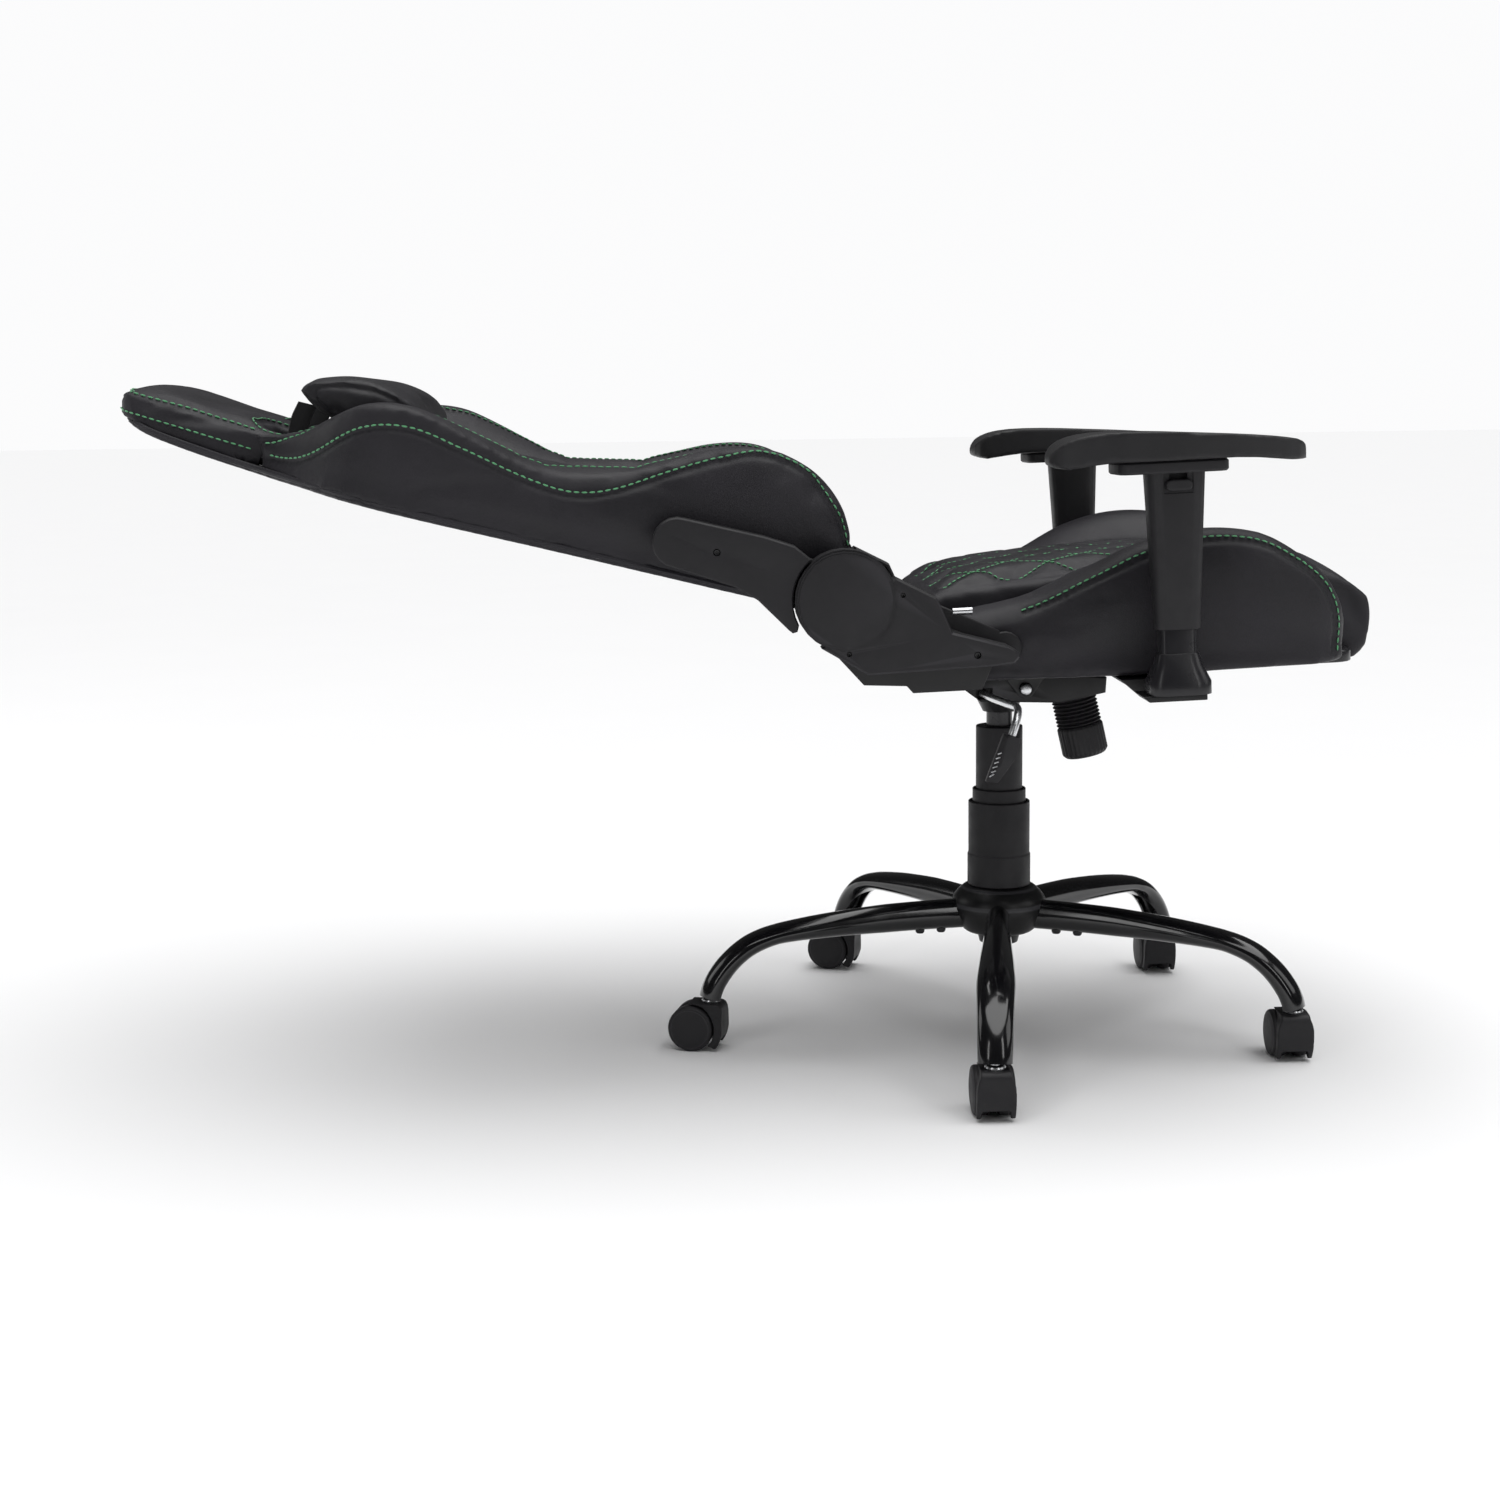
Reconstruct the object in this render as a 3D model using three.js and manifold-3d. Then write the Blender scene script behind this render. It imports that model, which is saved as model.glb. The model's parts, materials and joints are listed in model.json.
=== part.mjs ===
// Reclining racing-style gaming chair, millimetres, +Z up.
//
// Chair coordinates used by every function below: origin on the floor under the gas lift,
// +x to the sitter's left, +y to the rear, +z up. Two nested groups carry the tilted assemblies:
//   seatGroup: (x, y, h), h measured square to the underside of the seat, nose up by SEAT.noseUp
//   backGroup: (x, s, t), s along the backrest from the recline pivot, t towards the sitter

import * as THREE from 'three';
import { mergeVertices } from 'three/addons/utils/BufferGeometryUtils.js';
import Module from 'manifold-3d';

const wasm = await Module();
wasm.setup();

// ---------------------------------------------------------------- driving dimensions

const GAP = 0.3;
const PLACE = { x: 6.5, y: -274 };
const RIGHT = -1;
const LEFT = 1;

const BASE = {
  legCount: 5,
  firstLegAngle: -8.73,
  stemRadius: 324,
  hubTop: 165,
  hubBottom: 112,
  legStart: 34,
};

const CASTER = {
  wheelRadius: 25,
  trail: 20,
  hoodTop: 52,
  hoodHalfWidth: 19.2,
  wheelOuter: 21.5,
  webHalfWidth: 4,
  stemRadius: 5.5,
  stemTop: 76,
  // direction in which each wheel pair trails its stem, degrees from +x towards +y
  headings: [0, 0, 2, 72, 76],
};

const WHEEL_SIDES = 20;
// Height of the axle with one flat of the rim on the floor.
const AXLE_HEIGHT = CASTER.wheelRadius * Math.cos(Math.PI / WHEEL_SIDES);

const GAS = {
  columnRadius: 23,
  columnBottom: 100,
  columnTop: 262,
  pistonRadius: 14,
  pistonBottom: 196,
  pistonTop: 380,
  upper: { outer: 25.3, inner: 23.6, bottom: 240, top: 341 },
  middle: { outer: 29, inner: 26.7, bottom: 215, top: 272 },
  lower: { outer: 33.5, inner: 30.5, bottom: 165.3, top: 258, stepTop: 199, stepOuter: 34.4 },
};

const TILT = {
  pinY: -19,
  pinZ: 388,
  pinRadius: 6,
  pinHalf: 67,
  housingHalf: 55,
  wall: 5,
};

const KNOB = {
  topY: -80.5,
  topZ: 373.3,
  lean: 12.6,
  radius: 25,
  ribLength: 33,
  length: 68,
  ribCount: 8,
};

const SEAT = {
  noseUp: 2,
  underside: 415,
  panHalf: 196,
  panThick: 12,
  panRear: 92,
  panFront: -330,
  coreHalf: 150,
};

const RECLINE = {
  y: 182.8,
  h: 93.4,
  restAngle: 16.7,
  shaftRadius: 6,
  bossRadius: 49,
  discRadius: 47,
  plateRadius: 44,
  seatPlate: [222, 228],
  backPlate: [230, 236],
  cover: [228.6, 264],
  discTop: 270,
  lever: [214, 220],
};

const BACK = {
  coreHalf: 146,
  sideInner: 146.6,
  shellThick: 6,
  frameRadius: 8,
  frameHalf: 134,
  slotS: 580,
  slotX: 80,
  slotLength: 74,
  slotWidth: 34,
};

const ARM = {
  x: 275,
  y: -133,
  postTop: 150,
  sleeveBottom: 51.5,
  sleeveTop: 200.5,
};

// ---------------------------------------------------------------- materials

function finish(color, roughness, metalness) {
  return new THREE.MeshStandardMaterial({ color, roughness, metalness });
}

const leather = finish('#1b191e', 0.48, 0.0);
const piping = finish('#202022', 0.6, 0.0);
const matteBlack = finish('#232226', 0.62, 0.0);
const wheelBlack = finish('#1d1c1f', 0.55, 0.0);
const glossSteel = finish('#0d0c10', 0.2, 0.6);
const satinSteel = finish('#38363c', 0.38, 0.5);
const zinc = finish('#b9bcc0', 0.3, 0.95);
const rubbery = finish('#1a191c', 0.72, 0.0);

// ---------------------------------------------------------------- geometry helpers

const rad = THREE.MathUtils.degToRad;

function shapeFrom(points) {
  return new THREE.Shape(points.map(([a, b]) => new THREE.Vector2(a, b)));
}

// Points along a smooth curve through the given control points.
function curve(points, count) {
  const spline = new THREE.SplineCurve(points.map(([a, b]) => new THREE.Vector2(a, b)));
  return spline.getPoints(count).map((p) => [p.x, p.y]);
}

// Points of a circular arc, angles in degrees.
function arc(centre, radius, from, to, count) {
  const points = [];
  for (let i = 0; i <= count; i += 1) {
    const angle = rad(from + ((to - from) * i) / count);
    points.push([centre[0] + radius * Math.cos(angle), centre[1] + radius * Math.sin(angle)]);
  }
  return points;
}

function extrude(points, depth, bevel) {
  return new THREE.ExtrudeGeometry(shapeFrom(points), {
    depth: depth - 2 * bevel,
    bevelEnabled: bevel > 0,
    bevelThickness: bevel,
    bevelSize: bevel,
    bevelOffset: -bevel,
    bevelSegments: 1,
    curveSegments: 12,
  }).translate(0, 0, bevel);
}

// Outline in (y, z), solid between two x positions.
function sidePlate(points, xFrom, xTo, bevel = 0) {
  const geometry = extrude(points, xTo - xFrom, bevel);
  const turn = new THREE.Matrix4().makeBasis(
    new THREE.Vector3(0, 1, 0), new THREE.Vector3(0, 0, 1), new THREE.Vector3(1, 0, 0));
  return geometry.applyMatrix4(turn).translate(xFrom, 0, 0);
}

// Outline in (x, y), solid between two z positions.
function planPlate(points, zFrom, zTo, bevel = 0) {
  return extrude(points, zTo - zFrom, bevel).translate(0, 0, zFrom);
}

// Outline in (x, z), solid between two y positions.
function frontPlate(points, yFrom, yTo, bevel = 0) {
  const geometry = extrude(points, yTo - yFrom, bevel);
  const turn = new THREE.Matrix4().makeBasis(
    new THREE.Vector3(1, 0, 0), new THREE.Vector3(0, 0, 1), new THREE.Vector3(0, -1, 0));
  return geometry.applyMatrix4(turn).translate(0, yTo, 0);
}

function box(x0, x1, y0, y1, z0, z1) {
  const geometry = new THREE.BoxGeometry(x1 - x0, y1 - y0, z1 - z0);
  return geometry.translate((x0 + x1) / 2, (y0 + y1) / 2, (z0 + z1) / 2);
}

// Cylinder along x.
function barX(radius, x0, x1, y, z, sides = 20) {
  const geometry = new THREE.CylinderGeometry(radius, radius, x1 - x0, sides);
  return geometry.rotateZ(Math.PI / 2).translate((x0 + x1) / 2, y, z);
}

// Turned body about the z axis from an (r, z) profile.
function turned(profile, sides = 22) {
  const points = profile.map(([r, z]) => new THREE.Vector2(r, z));
  return new THREE.LatheGeometry(points, sides).rotateX(Math.PI / 2);
}

// Open-ended tube wall about the z axis.
function tubeWall(outer, inner, bottom, top, sides = 22) {
  return turned([[inner, bottom], [outer, bottom], [outer, top], [inner, top], [inner, bottom]], sides);
}

// Rounded rectangle outline.
function roundRect(cx, cy, width, height, radius, steps = 4) {
  const hx = width / 2 - radius;
  const hy = height / 2 - radius;
  return [
    ...arc([cx + hx, cy + hy], radius, 0, 90, steps),
    ...arc([cx - hx, cy + hy], radius, 90, 180, steps),
    ...arc([cx - hx, cy - hy], radius, 180, 270, steps),
    ...arc([cx + hx, cy - hy], radius, 270, 360, steps),
  ];
}

// Closed round bar of changing section along a path; halfSizes(share) gives [half wide, half high].
function sweptOval(path, halfSizes, sides, steps) {
  const geometry = new THREE.CylinderGeometry(1, 1, 1, sides, steps);
  const position = geometry.getAttribute('position');
  const point = new THREE.Vector3();
  const across = new THREE.Vector3(1, 0, 0);
  for (let i = 0; i < position.count; i += 1) {
    point.fromBufferAttribute(position, i);
    const share = 0.5 - point.y;
    const centre = path.getPointAt(share);
    const tangent = path.getTangentAt(share);
    const normal = new THREE.Vector3().crossVectors(tangent, across).normalize();
    const [halfWide, halfHigh] = halfSizes(share);
    centre.addScaledVector(across, point.x * halfWide);
    centre.addScaledVector(normal, point.z * halfHigh);
    position.setXYZ(i, centre.x, centre.y, centre.z);
  }
  return geometry;
}

// Straight-line interpolation in a list of [position, value] rows.
function along(rows, at) {
  for (let i = 1; i < rows.length; i += 1) {
    if (at <= rows[i][0]) {
      const [a, va] = rows[i - 1];
      const [b, vb] = rows[i];
      return va + ((vb - va) * (at - a)) / (b - a);
    }
  }
  return rows[rows.length - 1][1];
}

// ---------------------------------------------------------------- booleans

function toManifold(geometry) {
  const bare = new THREE.BufferGeometry();
  bare.setAttribute('position', geometry.getAttribute('position').clone());
  if (geometry.index) bare.setIndex(geometry.index.clone());
  const merged = mergeVertices(bare, 1e-3);
  return new wasm.Manifold(new wasm.Mesh({
    numProp: 3,
    vertProperties: new Float32Array(merged.getAttribute('position').array),
    triVerts: new Uint32Array(merged.index.array),
  }));
}

function fromManifold(body) {
  const mesh = body.getMesh();
  const geometry = new THREE.BufferGeometry();
  geometry.setAttribute('position', new THREE.BufferAttribute(new Float32Array(mesh.vertProperties), 3));
  geometry.setIndex(new THREE.BufferAttribute(new Uint32Array(mesh.triVerts), 1));
  const flat = geometry.toNonIndexed();
  flat.computeVertexNormals();
  return flat;
}

function union(...geometries) {
  return fromManifold(wasm.Manifold.union(geometries.map(toManifold)));
}

function subtract(geometry, ...cutters) {
  const cut = wasm.Manifold.union(cutters.map(toManifold));
  return fromManifold(toManifold(geometry).subtract(cut));
}

function intersect(first, second) {
  return fromManifold(toManifold(first).intersect(toManifold(second)));
}

// The same body on the other side of the chair.
function mirrored(geometry) {
  const copy = geometry.index ? geometry.toNonIndexed() : geometry.clone();
  const position = copy.getAttribute('position');
  const a = new THREE.Vector3();
  const b = new THREE.Vector3();
  const c = new THREE.Vector3();
  for (let i = 0; i < position.count; i += 3) {
    a.fromBufferAttribute(position, i);
    b.fromBufferAttribute(position, i + 1);
    c.fromBufferAttribute(position, i + 2);
    position.setXYZ(i, -a.x, a.y, a.z);
    position.setXYZ(i + 1, -c.x, c.y, c.z);
    position.setXYZ(i + 2, -b.x, b.y, b.z);
  }
  copy.computeVertexNormals();
  return copy;
}

function sided(geometry, side) {
  return side === RIGHT ? mirrored(geometry) : geometry;
}

function add(parent, name, geometry, material) {
  const mesh = new THREE.Mesh(geometry, material);
  mesh.name = name;
  parent.add(mesh);
  return mesh;
}

// ---------------------------------------------------------------- five-leg base

// Centre line of a leg in (radius, height), from inside the hub to above the caster stem.
const LEG_LINE = [
  [BASE.legStart, 134], [90, 133.5], [140, 132], [190, 129], [230, 125.2],
  [256, 121], [278, 113], [294, 102.5], [307, 90], [317, 76], [322, 65], [324, 56.8],
];

function legPath() {
  return new THREE.CatmullRomCurve3(LEG_LINE.map(([r, z]) => new THREE.Vector3(0, r, z)));
}

function legGeometry() {
  const wide = [[0, 12.5], [0.3, 14.5], [0.55, 18], [0.72, 19.6], [1, 17]];
  const high = [[0, 16.5], [0.3, 15.6], [0.5, 13.2], [0.68, 10.5], [0.85, 11], [1, 12.5]];
  const tube = sweptOval(legPath(), (at) => [along(wide, at), along(high, at)], 12, 12);
  const levelEnd = box(-40, 40, 284, 364, 20, 56.5);
  const stemBore = new THREE.CylinderGeometry(6.1, 6.1, 60, 10).rotateX(Math.PI / 2)
    .translate(0, BASE.stemRadius, 50);
  const hollow = new THREE.SphereGeometry(1, 8, 5).scale(13, 15, 19).translate(0, 306, 78);
  return subtract(tube, levelEnd, stemBore, hollow);
}

function hubGeometry() {
  const dome = turned([
    [0, BASE.hubBottom], [38, BASE.hubBottom], [49.5, 134], [52, 147], [48, 155],
    [35, BASE.hubTop], [0, BASE.hubTop],
  ], 24);
  const bore = new THREE.CylinderGeometry(GAS.columnRadius + GAP, GAS.columnRadius + GAP, 80, 24)
    .rotateX(Math.PI / 2).translate(0, 0, 138);
  const sockets = [];
  for (let i = 0; i < BASE.legCount; i += 1) {
    const socket = new THREE.CylinderGeometry(1, 1, 60, 12).scale(13.6, 1, 17.6)
      .translate(0, BASE.legStart - GAP + 30, 134);
    sockets.push(socket.rotateZ(legTurn(i)));
  }
  return subtract(dome, bore, ...sockets);
}

// Turn about z that brings a leg drawn along +y to its own direction; leg 1 points to the right.
function legTurn(index) {
  return Math.PI / 2 + rad(BASE.firstLegAngle + (360 / BASE.legCount) * index);
}

function buildBase(parent) {
  add(parent, 'hub', hubGeometry(), glossSteel);
  const leg = legGeometry();
  for (let i = 0; i < BASE.legCount; i += 1) {
    add(parent, `leg_${i + 1}`, leg.clone().rotateZ(legTurn(i)), glossSteel);
  }
}

// ---------------------------------------------------------------- casters

// One caster about its own stem: the wheel pair trails along +x, the axle lies along y.
function hoodGeometry() {
  const centre = [-CASTER.trail, AXLE_HEIGHT];
  const outline = [
    [-CASTER.trail - 3, CASTER.hoodTop],
    ...arc([7, 44], 8, 90, 0, 4),
    [15, 27],
    ...arc(centre, 35, -2, -38, 4),
    ...arc(centre, 26.4, -44, 96, 8),
  ];
  const shoulders = [
    [15, CASTER.hoodTop], [15.4, 46.5], [17.2, 42.5], [18.6, 37], [CASTER.hoodHalfWidth, 30],
    [CASTER.hoodHalfWidth, 0],
  ];
  const across = [...shoulders, ...shoulders.slice().reverse().map(([y, z]) => [-y, z])];
  const cover = intersect(
    frontPlate(outline, -CASTER.hoodHalfWidth, CASTER.hoodHalfWidth), sidePlate(across, -60, 30));
  const web = frontPlate(arc(centre, 23, 0, 330, 11), -CASTER.webHalfWidth, CASTER.webHalfWidth);
  const bridge = frontPlate([[-22, 28], [12, 28], [12, 48], [-22, 50]],
    -CASTER.webHalfWidth, CASTER.webHalfWidth);
  const collar = new THREE.CylinderGeometry(9, 9.5, 4, 12).rotateX(Math.PI / 2).translate(0, 0, 53.4);
  const stem = new THREE.CylinderGeometry(CASTER.stemRadius, CASTER.stemRadius, 30, 10)
    .rotateX(Math.PI / 2).translate(0, 0, CASTER.stemTop - 15);
  const axleBore = new THREE.CylinderGeometry(4.4, 4.4, 60, 10).translate(centre[0], 0, centre[1]);
  const treadWindow = box(-5, 20, -14, 14, -1, 12.5);
  return subtract(union(cover, web, bridge, collar, stem), axleBore, treadWindow).rotateZ(Math.PI);
}

// Both wheels and their axle, turned as one spool; a flat of the rim rests on the floor.
function wheelPairGeometry() {
  const r = CASTER.wheelRadius;
  const half = [
    [4, 4.4], [r, 4.6], [r, 18], [r - 4, 20.2], [0, CASTER.wheelOuter],
  ];
  const profile = [...half.slice().reverse().map(([a, b]) => [a, -b]), ...half];
  const spool = turned(profile, WHEEL_SIDES).rotateX(-Math.PI / 2).rotateY(Math.PI / WHEEL_SIDES);
  return spool.translate(CASTER.trail, 0, AXLE_HEIGHT);
}

function buildCasters(parent) {
  const hood = hoodGeometry();
  const wheels = wheelPairGeometry();
  for (let i = 0; i < BASE.legCount; i += 1) {
    const direction = legTurn(i) + Math.PI / 2;
    const stem = new THREE.Group();
    stem.position.set(BASE.stemRadius * Math.cos(direction), BASE.stemRadius * Math.sin(direction), 0);
    stem.rotation.z = rad(CASTER.headings[i]);
    parent.add(stem);
    add(stem, `caster_${i + 1}_hood`, hood, matteBlack);
    add(stem, `caster_${i + 1}_wheels`, wheels, wheelBlack);
  }
}

// ---------------------------------------------------------------- gas lift

function buildGasLift(parent) {
  const column = subtract(
    turned([[0, GAS.columnBottom], [21, GAS.columnBottom], [GAS.columnRadius, 108],
      [GAS.columnRadius, GAS.columnTop], [0, GAS.columnTop]], 24),
    new THREE.CylinderGeometry(GAS.pistonRadius + GAP, GAS.pistonRadius + GAP, 200, 24)
      .rotateX(Math.PI / 2).translate(0, 0, 220),
  );
  add(parent, 'gas_column', column, satinSteel);

  const { lower, middle, upper } = GAS;
  add(parent, 'cover_tube_lower', turned([
    [lower.inner, lower.bottom], [lower.stepOuter, lower.bottom], [lower.stepOuter, lower.stepTop],
    [lower.outer, lower.stepTop], [lower.outer, lower.top - 1], [lower.outer - 1, lower.top],
    [lower.inner, lower.top], [lower.inner, lower.bottom],
  ]), matteBlack);
  add(parent, 'cover_tube_middle', tubeWall(middle.outer, middle.inner, middle.bottom, middle.top),
    matteBlack);
  add(parent, 'cover_tube_upper', turned([
    [upper.inner, upper.bottom], [upper.outer, upper.bottom], [upper.outer, upper.top - 1.5],
    [upper.outer - 1.5, upper.top], [GAS.pistonRadius + GAP, upper.top],
    [GAS.pistonRadius + GAP, upper.top - 4], [upper.inner, upper.top - 4], [upper.inner, upper.bottom],
  ]), matteBlack);
  add(parent, 'gas_piston', turned([
    [0, GAS.pistonBottom], [GAS.pistonRadius, GAS.pistonBottom], [GAS.pistonRadius, GAS.pistonTop - 4],
    [GAS.pistonRadius - 1.5, GAS.pistonTop], [0, GAS.pistonTop],
  ], 20), satinSteel);
}

// ---------------------------------------------------------------- tilt mechanism

function housingGeometry() {
  const h = TILT.housingHalf;
  const outline = [
    [62, 388.8], [45, 387], [28, 374], [-50, 371.5], [-57, 371], [-106, 381.5],
    [-107, 398], [-60, 402.5], [-17, 403], [12, 400.5], [62, 393],
  ];
  const block = sidePlate(outline, -h, h, 1.5);
  const cone = turned([[0, 357], [18, 357], [27, 375], [27, 380], [0, 380]], 20);
  const room = box(-h + TILT.wall, h - TILT.wall, -48, 16, 390, 420);
  const rearRoom = box(-h + TILT.wall, h - TILT.wall, 16, 50, 391.5, 420);
  const socket = new THREE.CylinderGeometry(GAS.pistonRadius + GAP, GAS.pistonRadius + GAP, 60, 24)
    .rotateX(Math.PI / 2).translate(0, 0, GAS.pistonTop + GAP - 30);
  const pinBore = barX(TILT.pinRadius + GAP, -80, 80, TILT.pinY, TILT.pinZ);
  const leverPocket = box(-h - 1, -h + 17, 15, 33, 376.2, 388.5);
  const screwBore = knobAxisSolid(new THREE.CylinderGeometry(5.6, 5.6, 24, 16));
  return subtract(union(block, cone), room, rearRoom, socket, pinBore, leverPocket, screwBore);
}

// Moves a body turned about y onto the slanted knob axis, y = 0 at the knob's top face.
function knobAxisSolid(geometry) {
  return geometry.rotateX(Math.PI / 2).rotateX(-rad(KNOB.lean)).translate(0, KNOB.topY, KNOB.topZ);
}

function knobGeometry() {
  const profile = [[0, 10], [5, 10], [5, 0]];
  const pitch = KNOB.ribLength / KNOB.ribCount;
  for (let i = 0; i < KNOB.ribCount; i += 1) {
    profile.push([22.4, -i * pitch]);
    profile.push([24.4, -(i + 0.5) * pitch]);
  }
  profile.push([22.4, -KNOB.ribLength]);
  profile.push([KNOB.radius, -KNOB.ribLength - 1]);
  profile.push([KNOB.radius, -KNOB.length + 4]);
  profile.push([KNOB.radius - 4, -KNOB.length]);
  profile.push([0, -KNOB.length]);
  const points = profile.reverse().map(([r, y]) => new THREE.Vector2(r, y));
  return knobAxisSolid(new THREE.LatheGeometry(points, 16));
}

function leverRodGeometry() {
  const path = new THREE.CatmullRomCurve3([
    new THREE.Vector3(-41, 24, 381.5), new THREE.Vector3(-100, 20, 383), new THREE.Vector3(-160, 15, 385.5),
    new THREE.Vector3(-205, 11, 388), new THREE.Vector3(-220, 12.5, 384), new THREE.Vector3(-228, 16.5, 374),
    new THREE.Vector3(-229, 20.5, 363),
  ]);
  const ring = new THREE.Shape();
  ring.absarc(0, 0, 4, 0, Math.PI * 2, false);
  return new THREE.ExtrudeGeometry(ring, { steps: 14, curveSegments: 3, extrudePath: path });
}

// Flat tapered grip on the end of the rod, hollow where the rod enters.
function paddleGeometry() {
  const outline = [
    [28, 365], [13, 361.5], [17, 342], [24, 332], [25, 326], [34, 316], [46, 317], [43, 326],
  ];
  const grip = sidePlate(outline, -238, -220, 2);
  const socket = new THREE.CylinderGeometry(5.2, 5.2, 12, 12).rotateX(Math.PI / 2).rotateX(rad(19))
    .translate(-229, 19.8, 366);
  return subtract(grip, socket);
}

function buildMechanism(parent) {
  add(parent, 'tilt_housing', housingGeometry(), glossSteel);
  add(parent, 'tilt_pin', barX(TILT.pinRadius, -TILT.pinHalf, TILT.pinHalf, TILT.pinY, TILT.pinZ), zinc);
  add(parent, 'tension_knob', knobGeometry(), matteBlack);
  add(parent, 'height_lever_rod', leverRodGeometry(), satinSteel);
  add(parent, 'height_lever_paddle', paddleGeometry(), matteBlack);
}

// Upper plate, in seat coordinates: it carries the seat and turns about the tilt pin.
function upperPlateGeometry() {
  const turn = rad(SEAT.noseUp);
  const dz = TILT.pinZ - SEAT.underside;
  const pinY = TILT.pinY * Math.cos(turn) - dz * Math.sin(turn);
  const pinH = TILT.pinY * Math.sin(turn) + dz * Math.cos(turn);
  const plate = planPlate(roundRect(0, -18, 158, 190, 14), -6.3, -GAP);
  const ear = sidePlate([
    [pinY + 30, -4], [pinY - 30, -4], ...arc([pinY, pinH], 10.5, 200, 340, 8),
  ], TILT.housingHalf + 2, TILT.housingHalf + 7);
  const bore = barX(TILT.pinRadius + GAP, -90, 90, pinY, pinH);
  return subtract(union(plate, ear, mirrored(ear)), bore);
}

// ---------------------------------------------------------------- seat

// Half width of the upholstered seat at each y.
const SEAT_PLAN = [
  [102, 200], [60, 206], [8, 211], [-24, 218], [-70, 232], [-140, 238], [-230, 238], [-290, 231], [-317, 212],
];

const BOLSTER_TOP = [
  [100, 66], [55, 72], [7, 80], [-16, 87], [-39, 98], [-62, 109], [-85, 121.5], [-108, 132], [-140, 141],
  [-171, 145], [-205, 143.5], [-237, 136], [-266, 119], [-299, 92], [-314, 62], [-317, 35], [-312, 4],
];

const SEAT_TOP = [
  [103, 76], [96, 88], [60, 97], [0, 104], [-60, 108], [-120, 110], [-200, 109], [-270, 104], [-316, 96],
  [-342, 84], [-358, 68], [-362, 48], [-358, 24], [-349, 6], [-336, -5],
];

function sideBolsterGeometry() {
  const side = sidePlate([...curve(BOLSTER_TOP, 34), [100, 0]], SEAT.coreHalf + 0.6, 245);
  const outer = curve(SEAT_PLAN.map(([y, half]) => [half, y]), 20);
  const plan = planPlate([[100, 102], [100, -317], ...outer.reverse()], -5, 170);
  const pan = box(0, SEAT.panHalf + 0.6, SEAT.panFront - 0.6, 120, -1, SEAT.panThick + 0.6);
  return subtract(intersect(side, plan), pan);
}

function buildSeat(parent) {
  add(parent, 'seat_pan', planPlate(
    roundRect(0, (SEAT.panRear + SEAT.panFront) / 2, SEAT.panHalf * 2,
      SEAT.panRear - SEAT.panFront, 20), 0, SEAT.panThick), satinSteel);
  const core = sidePlate([...curve(SEAT_TOP, 30), [-331.5, -5], [-331.5, SEAT.panThick + 0.6],
    [103, SEAT.panThick + 0.6]],
    -SEAT.coreHalf, SEAT.coreHalf);
  const pan = box(-200, 200, SEAT.panFront - 0.6, 120, -1, SEAT.panThick + 0.6);
  add(parent, 'seat_cushion', subtract(core, pan), leather);
  const bolster = sideBolsterGeometry();
  add(parent, 'seat_bolster_right', mirrored(bolster), leather);
  add(parent, 'seat_bolster_left', bolster, leather);
  add(parent, 'tilt_upper_plate', upperPlateGeometry(), glossSteel);
}

// ---------------------------------------------------------------- armrests

// Stepped strip under the pan that carries one arm post, its rear edge cut at a slant.
function armBracketGeometry() {
  const outline = [
    [148, -6.3], [236, -6.3], [246, -17.3], [291, -17.3], [291, -11.3], [249, -11.3], [239, -GAP],
    [148, -GAP],
  ];
  const trimmed = sidePlate([[-158, -20], [-105, -20], [-82, 2], [-158, 2]], 140, 300);
  return intersect(frontPlate(outline, -158, -80), trimmed);
}

function taperedBlock(lowerSize, upperSize, bottom, top) {
  const geometry = planPlate(roundRect(0, 0, 1, 1, 0.28), bottom, top);
  const position = geometry.getAttribute('position');
  for (let i = 0; i < position.count; i += 1) {
    const share = (position.getZ(i) - bottom) / (top - bottom);
    position.setX(i, position.getX(i) * THREE.MathUtils.lerp(lowerSize[0], upperSize[0], share));
    position.setY(i, position.getY(i) * THREE.MathUtils.lerp(lowerSize[1], upperSize[1], share));
  }
  return geometry.translate(ARM.x, ARM.y, 0);
}

function armPostGeometry() {
  const foot = taperedBlock([50, 60], [50, 60], -11, 1);
  const shoulder = taperedBlock([50, 60], [35, 45], 1, 17);
  const neck = taperedBlock([35, 45], [28, 39], 17, 28);
  const tube = planPlate(roundRect(ARM.x, ARM.y, 25, 36, 6), 20, ARM.postTop);
  return union(foot, shoulder, neck, tube);
}

function armSleeveGeometry() {
  const shell = taperedBlock([31, 42], [40, 56], ARM.sleeveBottom, ARM.sleeveTop + 4);
  const plate = planPlate(roundRect(ARM.x, -127.5, 72, 105, 14), ARM.sleeveTop, 212.2, 2);
  const bore = planPlate(roundRect(ARM.x, ARM.y, 25 + 2 * GAP, 36 + 2 * GAP, 6.3), 40, 180);
  const slot = box(ARM.x + 10, ARM.x + 30, ARM.y - 8.5, ARM.y + 8.5, 184, 206);
  const ledge = box(ARM.x + 18.3, ARM.x + 30, ARM.y - 14, ARM.y + 14, 181, 200.5);
  return subtract(union(shell, plate), bore, slot, ledge);
}

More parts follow.
